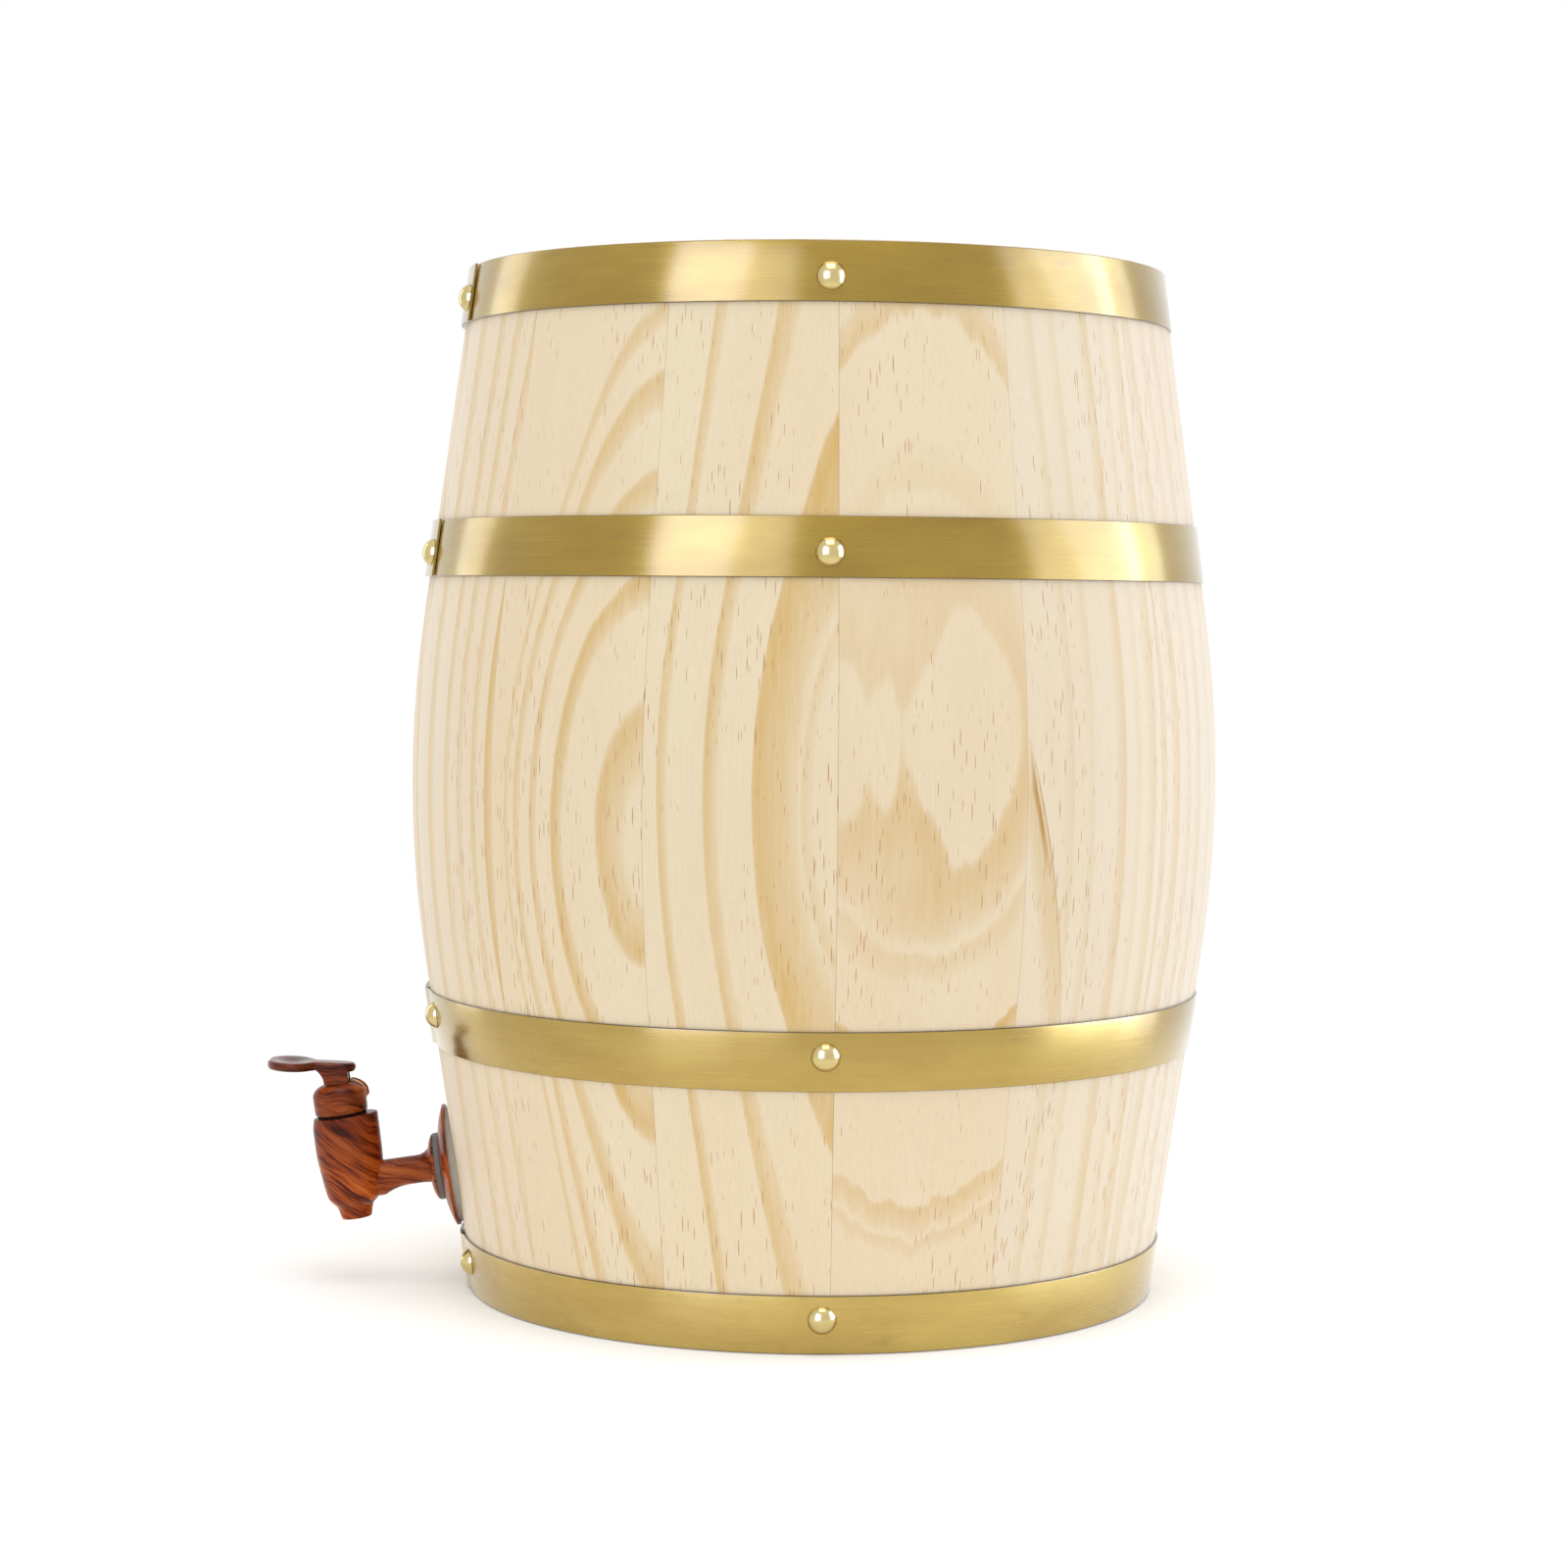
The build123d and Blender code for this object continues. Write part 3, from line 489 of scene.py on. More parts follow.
# bands: (distance from the pith of the sharp edge, length of the fade before it, strength), mm
# tint: each board's own tone; the bluer tints of the 2nd, 6th and 7th boards also paint the paler light towards
# the barrel's sides
staveFigures = [
    grainFigure(0.176, 0.004, 0.02, 0, 0.01, step=5.2 * mm, tint=(1.00, 0.98, 0.96)),
    grainFigure(
        0.150, 0.100, 0.00, tint=(1.01, 1.02, 1.07),
        bands=[(72, 2.5, 0.45), (77.9, 3.5, 0.75), (84.7, 3, 0.5), (92.8, 3.5, 0.45), (101.8, 4, 0.5),
               (116.5, 6, 0.55)],
    ),
    grainFigure(
        0.3616, 0.0855, 0.022, -0.206,
        bands=[(241.2, 0.6, 0.45), (242.96, 1.2, 0.7), (247.7, 1.4, 0.75), (251.5, 1.3, 0.65),
               (255.0, 1.3, 0.6), (257.3, 0.8, 0.5)],
    ),
    grainFigure(
        0.3207, 0.1200, -0.006, -0.212,
        bands=[(213.6, 0.9, 0.3), (217.2, 1.0, 0.3), (223.17, 5.8, 0.85), (231.33, 2.6, 0.62),
               (241.09, 2.2, 0.62)],
    ),
    grainFigure(
        -2.0, 0.0, -0.0587, 0.179, 0.004, tint=(1.0, 0.985, 0.98), skew=0.2, dent=ovalDent,
        fade=(10 * mm, 45 * mm, 0.5),  # from this height to that one, down to this share
        bands=[(2104.9, 1.1, 0.26), (2107.44, 2.0, 0.44), (2118.0, 1.6, 0.85), (2124.36, 1.5, 0.25),
               (2127.6, 2.6, 0.52)],
    ),
    grainFigure(
        0.160, -0.200, 0.00, tint=(1.00, 1.015, 1.08), soft=0.8, streak=resinLine,
        bands=[(190, 3, 0.2), (198, 3, 0.2), (211.8, 4.5, 0.4), (219, 3, 0.2), (227.5, 5, 0.35)],
    ),
    grainFigure(
        0.160, -0.200, 0.00, tint=(1.00, 1.015, 1.10), soft=0.8,
        bands=[(177, 4, 0.25), (185.2, 5, 0.35), (194, 4, 0.25), (203.5, 5, 0.35), (217, 5, 0.3),
               (227, 4, 0.25)],
    ),
    grainFigure(0.190, 0.002, 0.05, 0, 0.02, step=6.5 * mm, tint=(1.00, 0.98, 0.95)),
    grainFigure(0.150, -0.050, -0.02, step=7.5 * mm, tint=(1.01, 1.00, 0.98)),
    grainFigure(0.181, -0.029, 0.01, step=5.0 * mm, tint=(0.99, 0.98, 0.97)),
    grainFigure(0.160, 0.030, 0.03, step=8.5 * mm, tint=(1.00, 0.99, 0.97)),
    grainFigure(0.215, -0.006, 0.06, 0, 0.02, step=5.2 * mm, tint=(0.98, 0.97, 0.95)),
    grainFigure(0.140, 0.090, 0.00, step=4.6 * mm),
    grainFigure(0.170, -0.034, -0.03, 0, 0.01, step=6.2 * mm, tint=(1.01, 0.99, 0.97)),
]


def staveRows():
    # heights with the radius of the outer and the inner face at each
    arris, height, chime = stave["arris"], barrel["height"], stave["chime"]
    lip = arris * (1 - np.cos(np.radians(np.linspace(0, 90, stave["arrisSteps"]))))
    croze = [stave[edge] + step for edge in ("crozeLow", "crozeHigh")
             for step in (-stave["crozeWall"], stave["crozeWall"])]
    ends = np.array([*lip, chime / 2, chime, *croze])
    rows = np.linspace(stave["plainFrom"], height - stave["plainFrom"], stave["rows"])
    z = np.sort(np.concatenate([ends, height - ends, rows]))
    fromEnd = np.minimum(z, height - z)
    left = np.clip(arris - fromEnd, 0, arris)
    outer = wallRadius(z) - (arris - np.sqrt(arris**2 - left**2))
    slope = np.arcsin(np.minimum(np.abs(z - barrel["middle"]), barrel["arcHalf"]) / arcRadius)
    inner = wallRadius(z) - barrel["wall"] / np.cos(slope)
    inner = inner + np.clip(chime - fromEnd, 0, None)
    inGroove = (fromEnd > stave["crozeLow"]) & (fromEnd < stave["crozeHigh"])
    return z, outer, np.where(inGroove, inner + stave["crozeDepth"], inner)


def staveGrid(middle):
    # across the board: rounded arris, face, arris, then back along the inner face
    quarter = np.radians(np.linspace(0, 90, stave["arrisSteps"]))
    inset, sunk = stave["arris"] * (1 - np.cos(quarter)), stave["arris"] * (1 - np.sin(quarter))
    face = np.linspace(-1, 1, stave["faceSteps"] + 2)[1:-1]
    back = np.linspace(1, -1, stave["faceSteps"] // 2)
    none = np.zeros(len(quarter))
    side = np.concatenate([none - 1, face, none + 1, back])
    inset = np.concatenate([inset, stave["arris"] * np.abs(face), inset[::-1], 0 * back])
    sunk = np.concatenate([sunk, 0 * face, sunk[::-1], 0 * back])
    isBack = np.concatenate([none, 0 * face, none, 1 + 0 * back])
    z, outer, inner = (row[:, None] for row in staveRows())
    radius = np.where(isBack > 0, inner, outer - sunk)
    angle = middle + side * (staveAngle / 2) - np.sign(side) * (inset + stave["gap"]) / radius
    return np.stack([radius * np.cos(angle), radius * np.sin(angle), z + 0 * angle], axis=-1)


for number, grown in enumerate(staveFigures):
    middle = barrel["tapTurn"] + number * staveAngle
    name = f"stave_{number + 1:02d}"
    wood = pineMaterial(f"pine_{number + 1:02d}", (0, 0, -middle), grown, number + 1)
    makePiece(f"{name}_board", [loopShell(staveGrid(middle))], wood, "barrel", [name])
print("staves:", len(staveFigures))


# Hoops: one strip of brushed brass round the barrel, stepping up over its own start

hoop = {
    "width": 18 * mm, "thick": 0.7 * mm, "off": 0.02 * mm, "slit": 0.2 * mm,
    # the last of these is the width of a dark edge line of painted gap shadow and dirt
    "edge": 0.2 * mm, "edgeSteps": 4, "gapShadeAndDirtWidth": 0.15 * mm,
    "lapLead": 14, "lapBack": 8, "lapRoot": 3,  # degrees from the tap
    "stepDegrees": 1.0,
    "places": {  # inset of the near edge from its rim, and whether that rim is the top one
        "bottom_hoop": (0.4 * mm, False),
        "lower_hoop": (80.3 * mm, False),
        "upper_hoop": (80.3 * mm, True),
        "top_hoop": (0.4 * mm, True),
    },
}
brass = {
    # from the bottom hoop upwards: one brass, painted lighter low down and darker high up in place of the light
    # and shade each hoop reflects
    "tones": [(0.55, 0.400, 0.100), (0.465, 0.322, 0.066), (0.38, 0.250, 0.026), (0.38, 0.250, 0.026)],
    "worn": (0.80, 0.74, 0.62),  # share of each channel that dull patches keep
    "stainColour": (0.21, 0.14, 0.05),
    # dark edge line: painted shadow of the gap at the wood, and dirt
    "gapShadeAndDirtColour": (0.075, 0.048, 0.018),
    # noise: cells per metre along and across the strip, detail and roughness
    "brush": ((24, 4200, 1), 4.0, 0.65),
    "fine": ((160, 9000, 1), 2.0, 0.5),
    "dull": ((15, 40, 1), 4.0, 0.6),
    "stain": ((50, 130, 1), 5.0, 0.65),
    "dullStops": [(0.36, 0.0), (0.66, 1.0)],
    "stainStops": [(0.60, 0.0), (0.78, 0.45)],
    "brushStops": [(0.3, 0.90), (0.7, 1.07)],
    "roughness": 0.17, "moreRough": 0.10,  # more on dull and on brushed places
    "bump": 0.07, "bumpReach": 0.05 * mm,
    "seedStep": 4.1,
}


def brassMaterial(name, base, inset, seed):
    # long thin noise along the strip's UV map is the brushing, with dull patches, stains and dark edges of painted
    # gap shadow and dirt
    material, tree = newMaterial(name)
    strip = node(tree, "UVMap", uv_map="strip").outputs[0]
    brush = noiseAt(tree, strip, brass["brush"], (seed, 0, 0))
    fine = noiseAt(tree, strip, brass["fine"], (seed, 3, 0))
    dull = noiseAt(tree, strip, brass["dull"], (seed * 2, 5, 0))
    stain = noiseAt(tree, strip, brass["stain"], (seed * 3, 9, 0))
    colour = mixColour(tree, ramp(tree, dull, brass["dullStops"]), base, tinted(base, brass["worn"]))
    colour = mixColour(tree, ramp(tree, stain, brass["stainStops"]), colour, brass["stainColour"])
    colour = mixColour(tree, 1.0, colour, ramp(tree, brush, brass["brushStops"]), "MULTIPLY")
    half = hoop["width"] / 2
    across = calc(tree, "SUBTRACT", axesOf(tree, strip)[1], inset / math.cos(taper) + half)
    # painted gap shadow and dirt: the colour turns dark near both edges of the strip
    gapShadeAndDirtMask = calc(tree, "GREATER_THAN", calc(tree, "ABSOLUTE", across), half - hoop["gapShadeAndDirtWidth"])
    colour = mixColour(tree, gapShadeAndDirtMask, colour, brass["gapShadeAndDirtColour"])
    rough = calc(tree, "MULTIPLY_ADD", brush, brass["moreRough"], brass["roughness"])
    rough = calc(tree, "MULTIPLY_ADD", dull, brass["moreRough"], rough)
    grain = node(tree, "Tangent", direction_type="UV_MAP", uv_map="strip").outputs[0]
    inputs = {
        "Base Color": colour, "Metallic": 1.0, "Roughness": rough, "Specular Tint": (0.94, 0.91, 0.80, 1),
        "Anisotropic": 0.75, "Anisotropic Rotation": 0.25, "Tangent": grain,
        "Coat Weight": 0.9, "Coat Roughness": 0.14,
    }
    finishSurface(tree, inputs, calc(tree, "ADD", brush, fine), brass["bump"], brass["bumpReach"])
    return material


def hoopGrid(inset, atTop):
    # the strip's rounded section at each step round the barrel; the lower strips run the other way
    hand = 1 if atTop else -1
    ahead, climb = hoop["lapBack"] - hoop["lapRoot"], 360 - hoop["lapRoot"]
    end = 360 + ahead + hoop["lapLead"]
    run = np.arange(0, end + hoop["stepDegrees"] / 100, hoop["stepDegrees"])
    turn = barrel["tapTurn"] + hand * np.radians(run - ahead)[:, None]
    lift = (hoop["thick"] + hoop["slit"]) * smooth((run - climb) / hoop["lapRoot"])
    edge, wide, thick = hoop["edge"], hoop["width"], hoop["thick"]
    corners = [(wide - edge, thick - edge), (edge, thick - edge), (edge, edge), (wide - edge, edge)]
    section = np.vstack([
        roundCorner(corner, edge, 90 * k, 90 * k + 90, hoop["edgeSteps"])
        for k, corner in enumerate(corners)
    ])
    along = inset / math.cos(taper) + section[:, 0][None, :]
    out = hoop["off"] + section[:, 1][None, :] + lift[:, None]
    radius, z = wallPoint(along, out, atTop)
    run = np.radians(run)[:, None] * barrel["rim"]
    return np.stack([radius * np.cos(turn), radius * np.sin(turn), z, run + 0 * z, along + 0 * z], axis=-1)


brassPieces = []
for number, (name, (inset, atTop)) in enumerate(hoop["places"].items()):
    # each hoop's tone includes its share of painted light and shade
    tone, seed = brass["tones"][number], number * brass["seedStep"]
    finish = brassMaterial(f"brushed_brass_{number + 1}", tone, inset, seed)
    shell = loopShell(hoopGrid(inset, atTop))
    brassPieces.append(makePiece(f"{name}_strip", [shell], finish, "barrel", [name]))
print("hoops:", len(hoop["places"]))


# Nails: polished domes on pointed shanks

nail = {
    "head": 4.4 * mm, "dome": 3.0 * mm, "shank": 0.9 * mm, "length": 9 * mm,
    "point": 2.5 * mm, "tip": 0.02 * mm, "seat": 0.03 * mm,
    "offset": 1.5 * mm,  # from the strip's middle line
    "lapLead": 11.4, "lapBack": 11.4, "sideTurn": 88.8,  # degrees from the tap
    "capSteps": 14, "steps": 40,
    "polish": {
        "colour": (0.61, 0.490, 0.215), "roughness": 0.20, "metallic": 1.0,
        "grain": 260.0, "tone": 0.10, "bump": 0.12,
    },
}


def nailProfile():
    # (radius, height) from the crown, one degree off its middle, over the brim to the point
    head, dome, shank, length = (nail[size] for size in ("head", "dome", "shank", "length"))
    ball = (head**2 + dome**2) / (2 * dome)
    reach = math.degrees(math.asin(head / ball))
    cap = roundCorner((0, dome - ball), ball, 89, 90 - reach, nail["capSteps"])
    below = [(head, 0.0), (shank, 0.0), (shank, nail["point"] - length), (nail["tip"], -length)]
    return np.vstack([cap, below])


def nailShells(inset, atTop):
    # square to the strip: one nail through the lap, one past its root and one on each side
    hand = 1 if atTop else -1
    along = inset / math.cos(taper) + hoop["width"] / 2 + nail["offset"]
    single = hoop["off"] + hoop["thick"] + nail["seat"]
    double = single + hoop["slit"] + hoop["thick"]
    turns = [
        (hand * nail["lapLead"], double), (-hand * nail["lapBack"], single),
        (nail["sideTurn"], single), (-nail["sideTurn"], single),
    ]
    upright = np.array([0, 0, 1.0])
    shells = []
    for degrees, out in turns:
        turn = barrel["tapTurn"] + math.radians(degrees)
        radius, z = wallPoint(along, out, atTop)
        outward = np.array([math.cos(turn), math.sin(turn), 0])
        around = np.array([-math.sin(turn), math.cos(turn), 0])
        axis = outward * math.cos(taper) + upright * math.sin(taper) * hand
        grid = turnedGrid(nailProfile(), outward * radius + upright * z, axis, around, nail["steps"])
        shells.append(loopShell(grid))
    return shells


polished = plainMaterial("polished_brass", **nail["polish"])
for name, place in hoop["places"].items():
    shells = nailShells(*place)
    brassPieces.append(
        makePiece(f"{name}_nail_heads", shells, polished, "barrel", [f"{name}_nails"]))
print("nails: 4 in each hoop")


# Tap: its directions come from the joints; heights count from the shank's axis, in mm until placed

joints = {joint["name"]: joint for joint in frame["joints"]}
tapUp = np.array(joints["valve_lift"]["axis"])
tapOut = np.cross((1, 0, 0), tapUp)
tapAside = np.array([1.0, 0, 0])
pin = np.array(joints["lever_press"]["pos_m"])
tap = {"pinUp": 33.6, "reach": 34.4}  # the lever's pin above the shank, and the valve out from the wall


def tapPoints(out, aside, up):
    # steps out from the valve, across and up, as points of the frame
    out, aside, up = (part[..., None] * mm for part in np.broadcast_arrays(out, aside, up - tap["pinUp"]))
    return pin + out * tapOut + aside * tapAside + up * tapUp


def easyCurve(knots, at):
    # a cubic through (place, value) knots, with slopes that never overshoot
    place, value = np.array(sorted(knots), float).T
    wide, step = np.diff(place), np.diff(value) / np.diff(place)
    slope = np.concatenate([step[:1], 0 * step[1:], step[-1:]])
    same = step[1:] * step[:-1] > 0
    slope[1:-1][same] = 2 / (1 / step[1:][same] + 1 / step[:-1][same])
    k = np.clip(np.searchsorted(place, at) - 1, 0, len(step) - 1)
    t = np.clip((at - place[k]) / wide[k], 0, 1)
    rise = slope[k] * t * (1 - t) ** 2 - slope[k + 1] * t**2 * (1 - t)
    return value[k] + (value[k + 1] - value[k]) * t**2 * (3 - 2 * t) + rise * wide[k]


# Printed grain: dark wavy streaks across the tap, by noise stretched along a slanted line

printed = {
    "dark": (0.38, (0.048, 0.006, 0.002)),  # tone, and its colour
    "mid": (0.46, (0.172, 0.029, 0.005)),
    "light": (0.54, (0.338, 0.071, 0.012)),
    "pale": (0.66, (0.465, 0.130, 0.028)),
    # noise: cells per metre across and along the streaks and through the tap, detail and roughness
    "sway": ((75, 45, 60), 2.0, 0.5),
    "broad": ((300, 26, 60), 2.0, 0.6),
    "streak": ((1000, 60, 160), 3.0, 0.6),
    "hair": ((3600, 190, 500), 2.0, 0.5),
    "swayReach": 9 * mm,
    "broadShare": 0.45, "streakShare": 0.45, "hairShare": 0.10,
    "glossChange": 0.12, "shine": 0.17,
    "bump": 0.05, "bumpReach": 0.1 * mm,
}
paintedEdgeHighlight = {  # a painted highlight: a pale line along the bonnet's lobe
    "aside": -0.30 * mm, "half": 0.13 * mm, "behind": -4.1 * mm, "above": -7.6 * mm,
    "colour": (0.62, 0.50, 0.38),
}


def alongTap(tree, offset, direction):
    # how far an offset goes in one of the tap's directions
    both = {0: offset, 1: tuple(direction)}
    return node(tree, "VectorMath", both, operation="DOT_PRODUCT").outputs["Value"]


def printedMaterial(name, slant, tones=(1, 1, 1), seed=0.0, gloss=0.28, edgeHighlight=False, shade=None):
    # streaks follow the line at that many degrees below level; shading tones at an upper and a lower height are
    # painted shade and light; the pale edge line is a painted highlight
    material, tree = newMaterial(name)
    place = objectPlace(tree)
    offset = node(tree, "VectorMath", {0: place, 1: tuple(pin)}, operation="SUBTRACT").outputs[0]
    out, up = alongTap(tree, offset, tapOut), alongTap(tree, offset, tapUp)
    aside = axesOf(tree, place)[0]
    cos, sin = math.cos(math.radians(slant)), math.sin(math.radians(slant))
    across = calc(tree, "MULTIPLY_ADD", up, cos, calc(tree, "MULTIPLY", out, -sin))
    along = calc(tree, "MULTIPLY_ADD", up, sin, calc(tree, "MULTIPLY", out, cos))
    grain = node(tree, "CombineXYZ", {"X": across, "Y": along, "Z": aside}).outputs[0]
    sway = calc(tree, "MULTIPLY", noiseAt(tree, grain, printed["sway"], (seed, 0, 0)), printed["swayReach"])
    bent = node(tree, "CombineXYZ", {"X": sway}).outputs[0]
    grain = node(tree, "VectorMath", {0: grain, 1: bent}, operation="ADD").outputs[0]
    broad = noiseAt(tree, grain, printed["broad"], (seed, 3, 0))
    streak = noiseAt(tree, grain, printed["streak"], (seed, 7, 0))
    hair = noiseAt(tree, grain, printed["hair"], (seed, 11, 0))
    tone = calc(tree, "MULTIPLY", broad, printed["broadShare"])
    tone = calc(tree, "MULTIPLY_ADD", streak, printed["streakShare"], tone)
    tone = calc(tree, "MULTIPLY_ADD", hair, printed["hairShare"], tone)
    stops = [printed[step] for step in ("dark", "mid", "light", "pale")]
    colour = ramp(tree, tone, [(at, tinted(ink, tones)) for at, ink in stops])
    # painted shade and light: the colour is multiplied by tones that change with height
    if shade:
        (high, upper), (low, lower) = shade
        down = share(tree, up, (high - tap["pinUp"]) * mm, (low - tap["pinUp"]) * mm)
        colour = mixColour(tree, 1.0, colour, mixColour(tree, down, upper, lower), "MULTIPLY")
    # painted highlight: a pale line along the edge of the bonnet's lobe
    if edgeHighlight:
        line = calc(tree, "COMPARE", aside, paintedEdgeHighlight["aside"], paintedEdgeHighlight["half"])
        behind = calc(tree, "LESS_THAN", out, paintedEdgeHighlight["behind"])
        above = calc(tree, "GREATER_THAN", up, paintedEdgeHighlight["above"])
        colour = mixColour(tree, product(tree, line, behind, above), colour, paintedEdgeHighlight["colour"])
    change = printed["glossChange"]
    rough = calc(tree, "MULTIPLY_ADD", streak, change, gloss - change / 2)
    inputs = {"Base Color": colour, "Roughness": rough, "Specular IOR Level": printed["shine"]}
    finishSurface(tree, inputs, streak, printed["bump"], printed["bumpReach"])
    return material


# Tap body: a housing with a rear lobe and an open spout, a neck, a domed collar and the shank

housing = {
    "front": [  # height, radius
        (21, 9.3), (16.8, 10.05), (9.8, 10.1), (2.8, 9.5),
        (-5.4, 8.3), (-7.0, 7.3), (-8.9, 5.75), (-12.4, 4.9),
    ],
    "rear": [(21, 11.5), (12, 11.4), (3, 11.0), (-5.2, 9.35), (-7.4, 7.6), (-8.9, 6.0), (-12.4, 5.0)],
    "lobe": 40,  # degrees to each side of the barrel's side
    "spoutRows": (-12.4, -8.6, 10), "wallRows": (-8.3, 20.5, 60),  # heights from and to, and how many
    "brim": [(20.75, 0.05), (20.92, 0.2), (21.0, 0.55)],  # height, and how far in from the wall
    "chamber": 6.6, "chamberBevel": 0.4, "seat": -4.5, "bore": 3.6, "boreBevel": 0.3,
    "tip": -12.8, "tipRound": [(0.0, 0.45), (0.1, 0.1)],  # height above the tip, and how far in
    "top": 21.0, "steps": 96,
    "print": {
        "slant": 42, "seed": 2.0,
        # painted shade at the top and painted light towards the spout, as tones at two heights
        "shade": ((21, (0.55, 0.42, 0.45)), (-10, (1.66, 1.62, 1.3))),  # darker at the top
    },
}


def housingShell():
    # radius by height on the front and rear curves, mixed by how far round a point is
    angle = fullTurn(housing["steps"])
    fromRear = np.abs(np.pi - angle)
    lobe = np.exp(-((fromRear / math.radians(housing["lobe"])) ** 2))
    up = np.concatenate([np.linspace(*housing["spoutRows"]), np.linspace(*housing["wallRows"])])
    front, rear = (easyCurve(housing[side], up)[:, None] for side in ("front", "rear"))
    wall = front * (1 - lobe) + rear * lobe
    brimUp, brimIn = np.array(housing["brim"]).T
    tipUp, tipIn = np.array(housing["tipRound"]).T
    top, seat, tip = housing["top"], housing["seat"], housing["tip"]
    chamber, bore, bevel = housing["chamber"], housing["bore"], housing["boreBevel"]
    inUp, inner = np.array([
        (top, chamber + housing["chamberBevel"]), (top - housing["chamberBevel"], chamber), (seat, chamber),
        (seat, bore), (tip + bevel, bore), (tip, bore + bevel),
    ]).T
    up = np.concatenate([up, brimUp, inUp, tip + tipUp])[:, None]
    inner = inner[:, None] + 0 * lobe
    radius = np.vstack([wall, wall[-1] - brimIn[:, None], inner, wall[0] - tipIn[:, None]])
    return loopShell(tapPoints(radius * np.cos(angle), radius * np.sin(angle), up), wrap=True)


shank = {  # distances out from the wall
    "collar": [  # distance, radius
        (8.3, 6.7), (8.15, 7.6), (7.8, 8.8), (7.3, 9.9),
        (6.9, 10.5), (6.6, 10.75), (6.3, 10.75), (6.2, 10.6),
    ],
    "neck": 4.6, "neckRows": (26.5, 8.4, 40),  # from and to, and how many
    "sag": 2.3, "sagFrom": 15, "sagOver": 9, "sagRound": 1.5,
    "flare": 1.9, "flareFrom": 12.4, "flareOver": 4, "flareOnTop": 0.4, "ease": 2.2,
    "thread": 7.6, "end": -27.4, "endBevel": 0.3, "bore": 3.5, "steps": 64,
    "print": {"slant": 14, "seed": 6.0},
}


def shankShell():
    # rings along the shank: the neck sags where it meets the housing and flares on top at the collar
    turn = fullTurn(shank["steps"])
    away = np.linspace(*shank["neckRows"])
    sag = np.clip((away - shank["sagFrom"]) / shank["sagOver"], 0, 1)[:, None] ** shank["ease"]
    below = np.clip(-np.sin(turn), 0, 1) ** shank["sagRound"]
    flare = np.clip((shank["flareFrom"] - away) / shank["flareOver"], 0, 1)[:, None] ** shank["ease"]
    onTop = 1 - shank["flareOnTop"] + shank["flareOnTop"] * np.sin(turn)
    neck = shank["neck"] + shank["sag"] * sag * below + shank["flare"] * flare * onTop
    thread, end, bevel = shank["thread"], shank["end"], shank["endBevel"]
    rest = np.array([
        *shank["collar"], (shank["collar"][-1][0], thread), (end + bevel, thread), (end, thread - bevel),
        (end, shank["bore"]), (shank["neckRows"][0], shank["bore"]),
    ])
    away = np.concatenate([away, rest[:, 0]])[:, None]
    radius = np.vstack([neck, rest[:, 1:] + 0 * turn])
    points = tapPoints(away - tap["reach"], radius * np.cos(turn), radius * np.sin(turn))
    return loopShell(points, wrap=True)


housingPrint = printedMaterial("printed_grain_housing", **housing["print"])
makePiece("tap_housing_print", [housingShell()], housingPrint, "barrel", ["tap_body"])
neckPrint = printedMaterial("printed_grain_neck", **shank["print"])
makePiece("tap_neck_print", [shankShell()], neckPrint, "barrel", ["tap_body"])


# Bonnet: a dome with a hollow plug below it and a raised lobe on its far rear side

bonnet = {
    "outer": [  # height, radius
        (22.0, 8.2), (22.1, 8.42), (22.4, 8.5), (26.0, 8.62), (28.2, 8.55), (29.4, 8.1), (30.4, 7.2),
        (31.1, 6.1), (31.45, 5.3), (31.6, 4.5),
    ],
    "inner": [
        (31.6, 2.6), (31.4, 2.35), (25.8, 2.35), (25.8, 5.4), (15.0, 5.4), (15.0, 6.45), (22.0, 6.45),
    ],
    "lobe": 1.15, "lobeFrom": 181, "lobeTo": 300, "easeFrom": 5, "easeTo": 25,  # degrees
    "lobeBehind": 3.9, "easeBehind": 0.6, "lobeAbove": 25.5, "easeAbove": 1.6,
    "rows": 60, "steps": 160,
    # the bonnet's print has the painted highlight line along its lobe
    "print": {"slant": 14, "tones": (0.95, 0.92, 0.8), "seed": 5.0, "edgeHighlight": True},
}


def bonnetShell():
    # the turned profile, pushed outwards along its slope over the lobe
    angle = fullTurn(bonnet["steps"])
    degrees = np.degrees(angle)
    knots = np.array(bonnet["outer"])
    fine = np.linspace(0, len(knots) - 1, bonnet["rows"])
    up, radius = (easyCurve(list(enumerate(knots[:, k])), fine)[:, None] for k in (0, 1))
    slopeUp, slopeOut = np.gradient(up[:, 0])[:, None], np.gradient(radius[:, 0])[:, None]
    steep = np.hypot(slopeUp, slopeOut)
    window = smooth((degrees - bonnet["lobeFrom"]) / bonnet["easeFrom"])
    window = window * smooth((bonnet["lobeTo"] - degrees) / bonnet["easeTo"])
    behind = smooth((-radius * np.cos(angle) - bonnet["lobeBehind"]) / bonnet["easeBehind"])
    above = smooth((up - bonnet["lobeAbove"]) / bonnet["easeAbove"])
    push = bonnet["lobe"] * window * behind * above
    wide, high = radius + push * slopeUp / steep, up - push * slopeOut / steep
    inner = np.array(bonnet["inner"])
    wide = np.vstack([wide, inner[:, 1:] + 0 * angle])
    high = np.vstack([high, inner[:, :1] + 0 * angle])
    return loopShell(tapPoints(wide * np.cos(angle), wide * np.sin(angle), high), wrap=True)


bonnetPrint = printedMaterial("printed_grain_bonnet", **bonnet["print"])
makePiece("bonnet_print", [bonnetShell()], bonnetPrint, "barrel", ["bonnet"])


# Lever: a paddle with a dished spoon, tipped up a little, on two cheeks

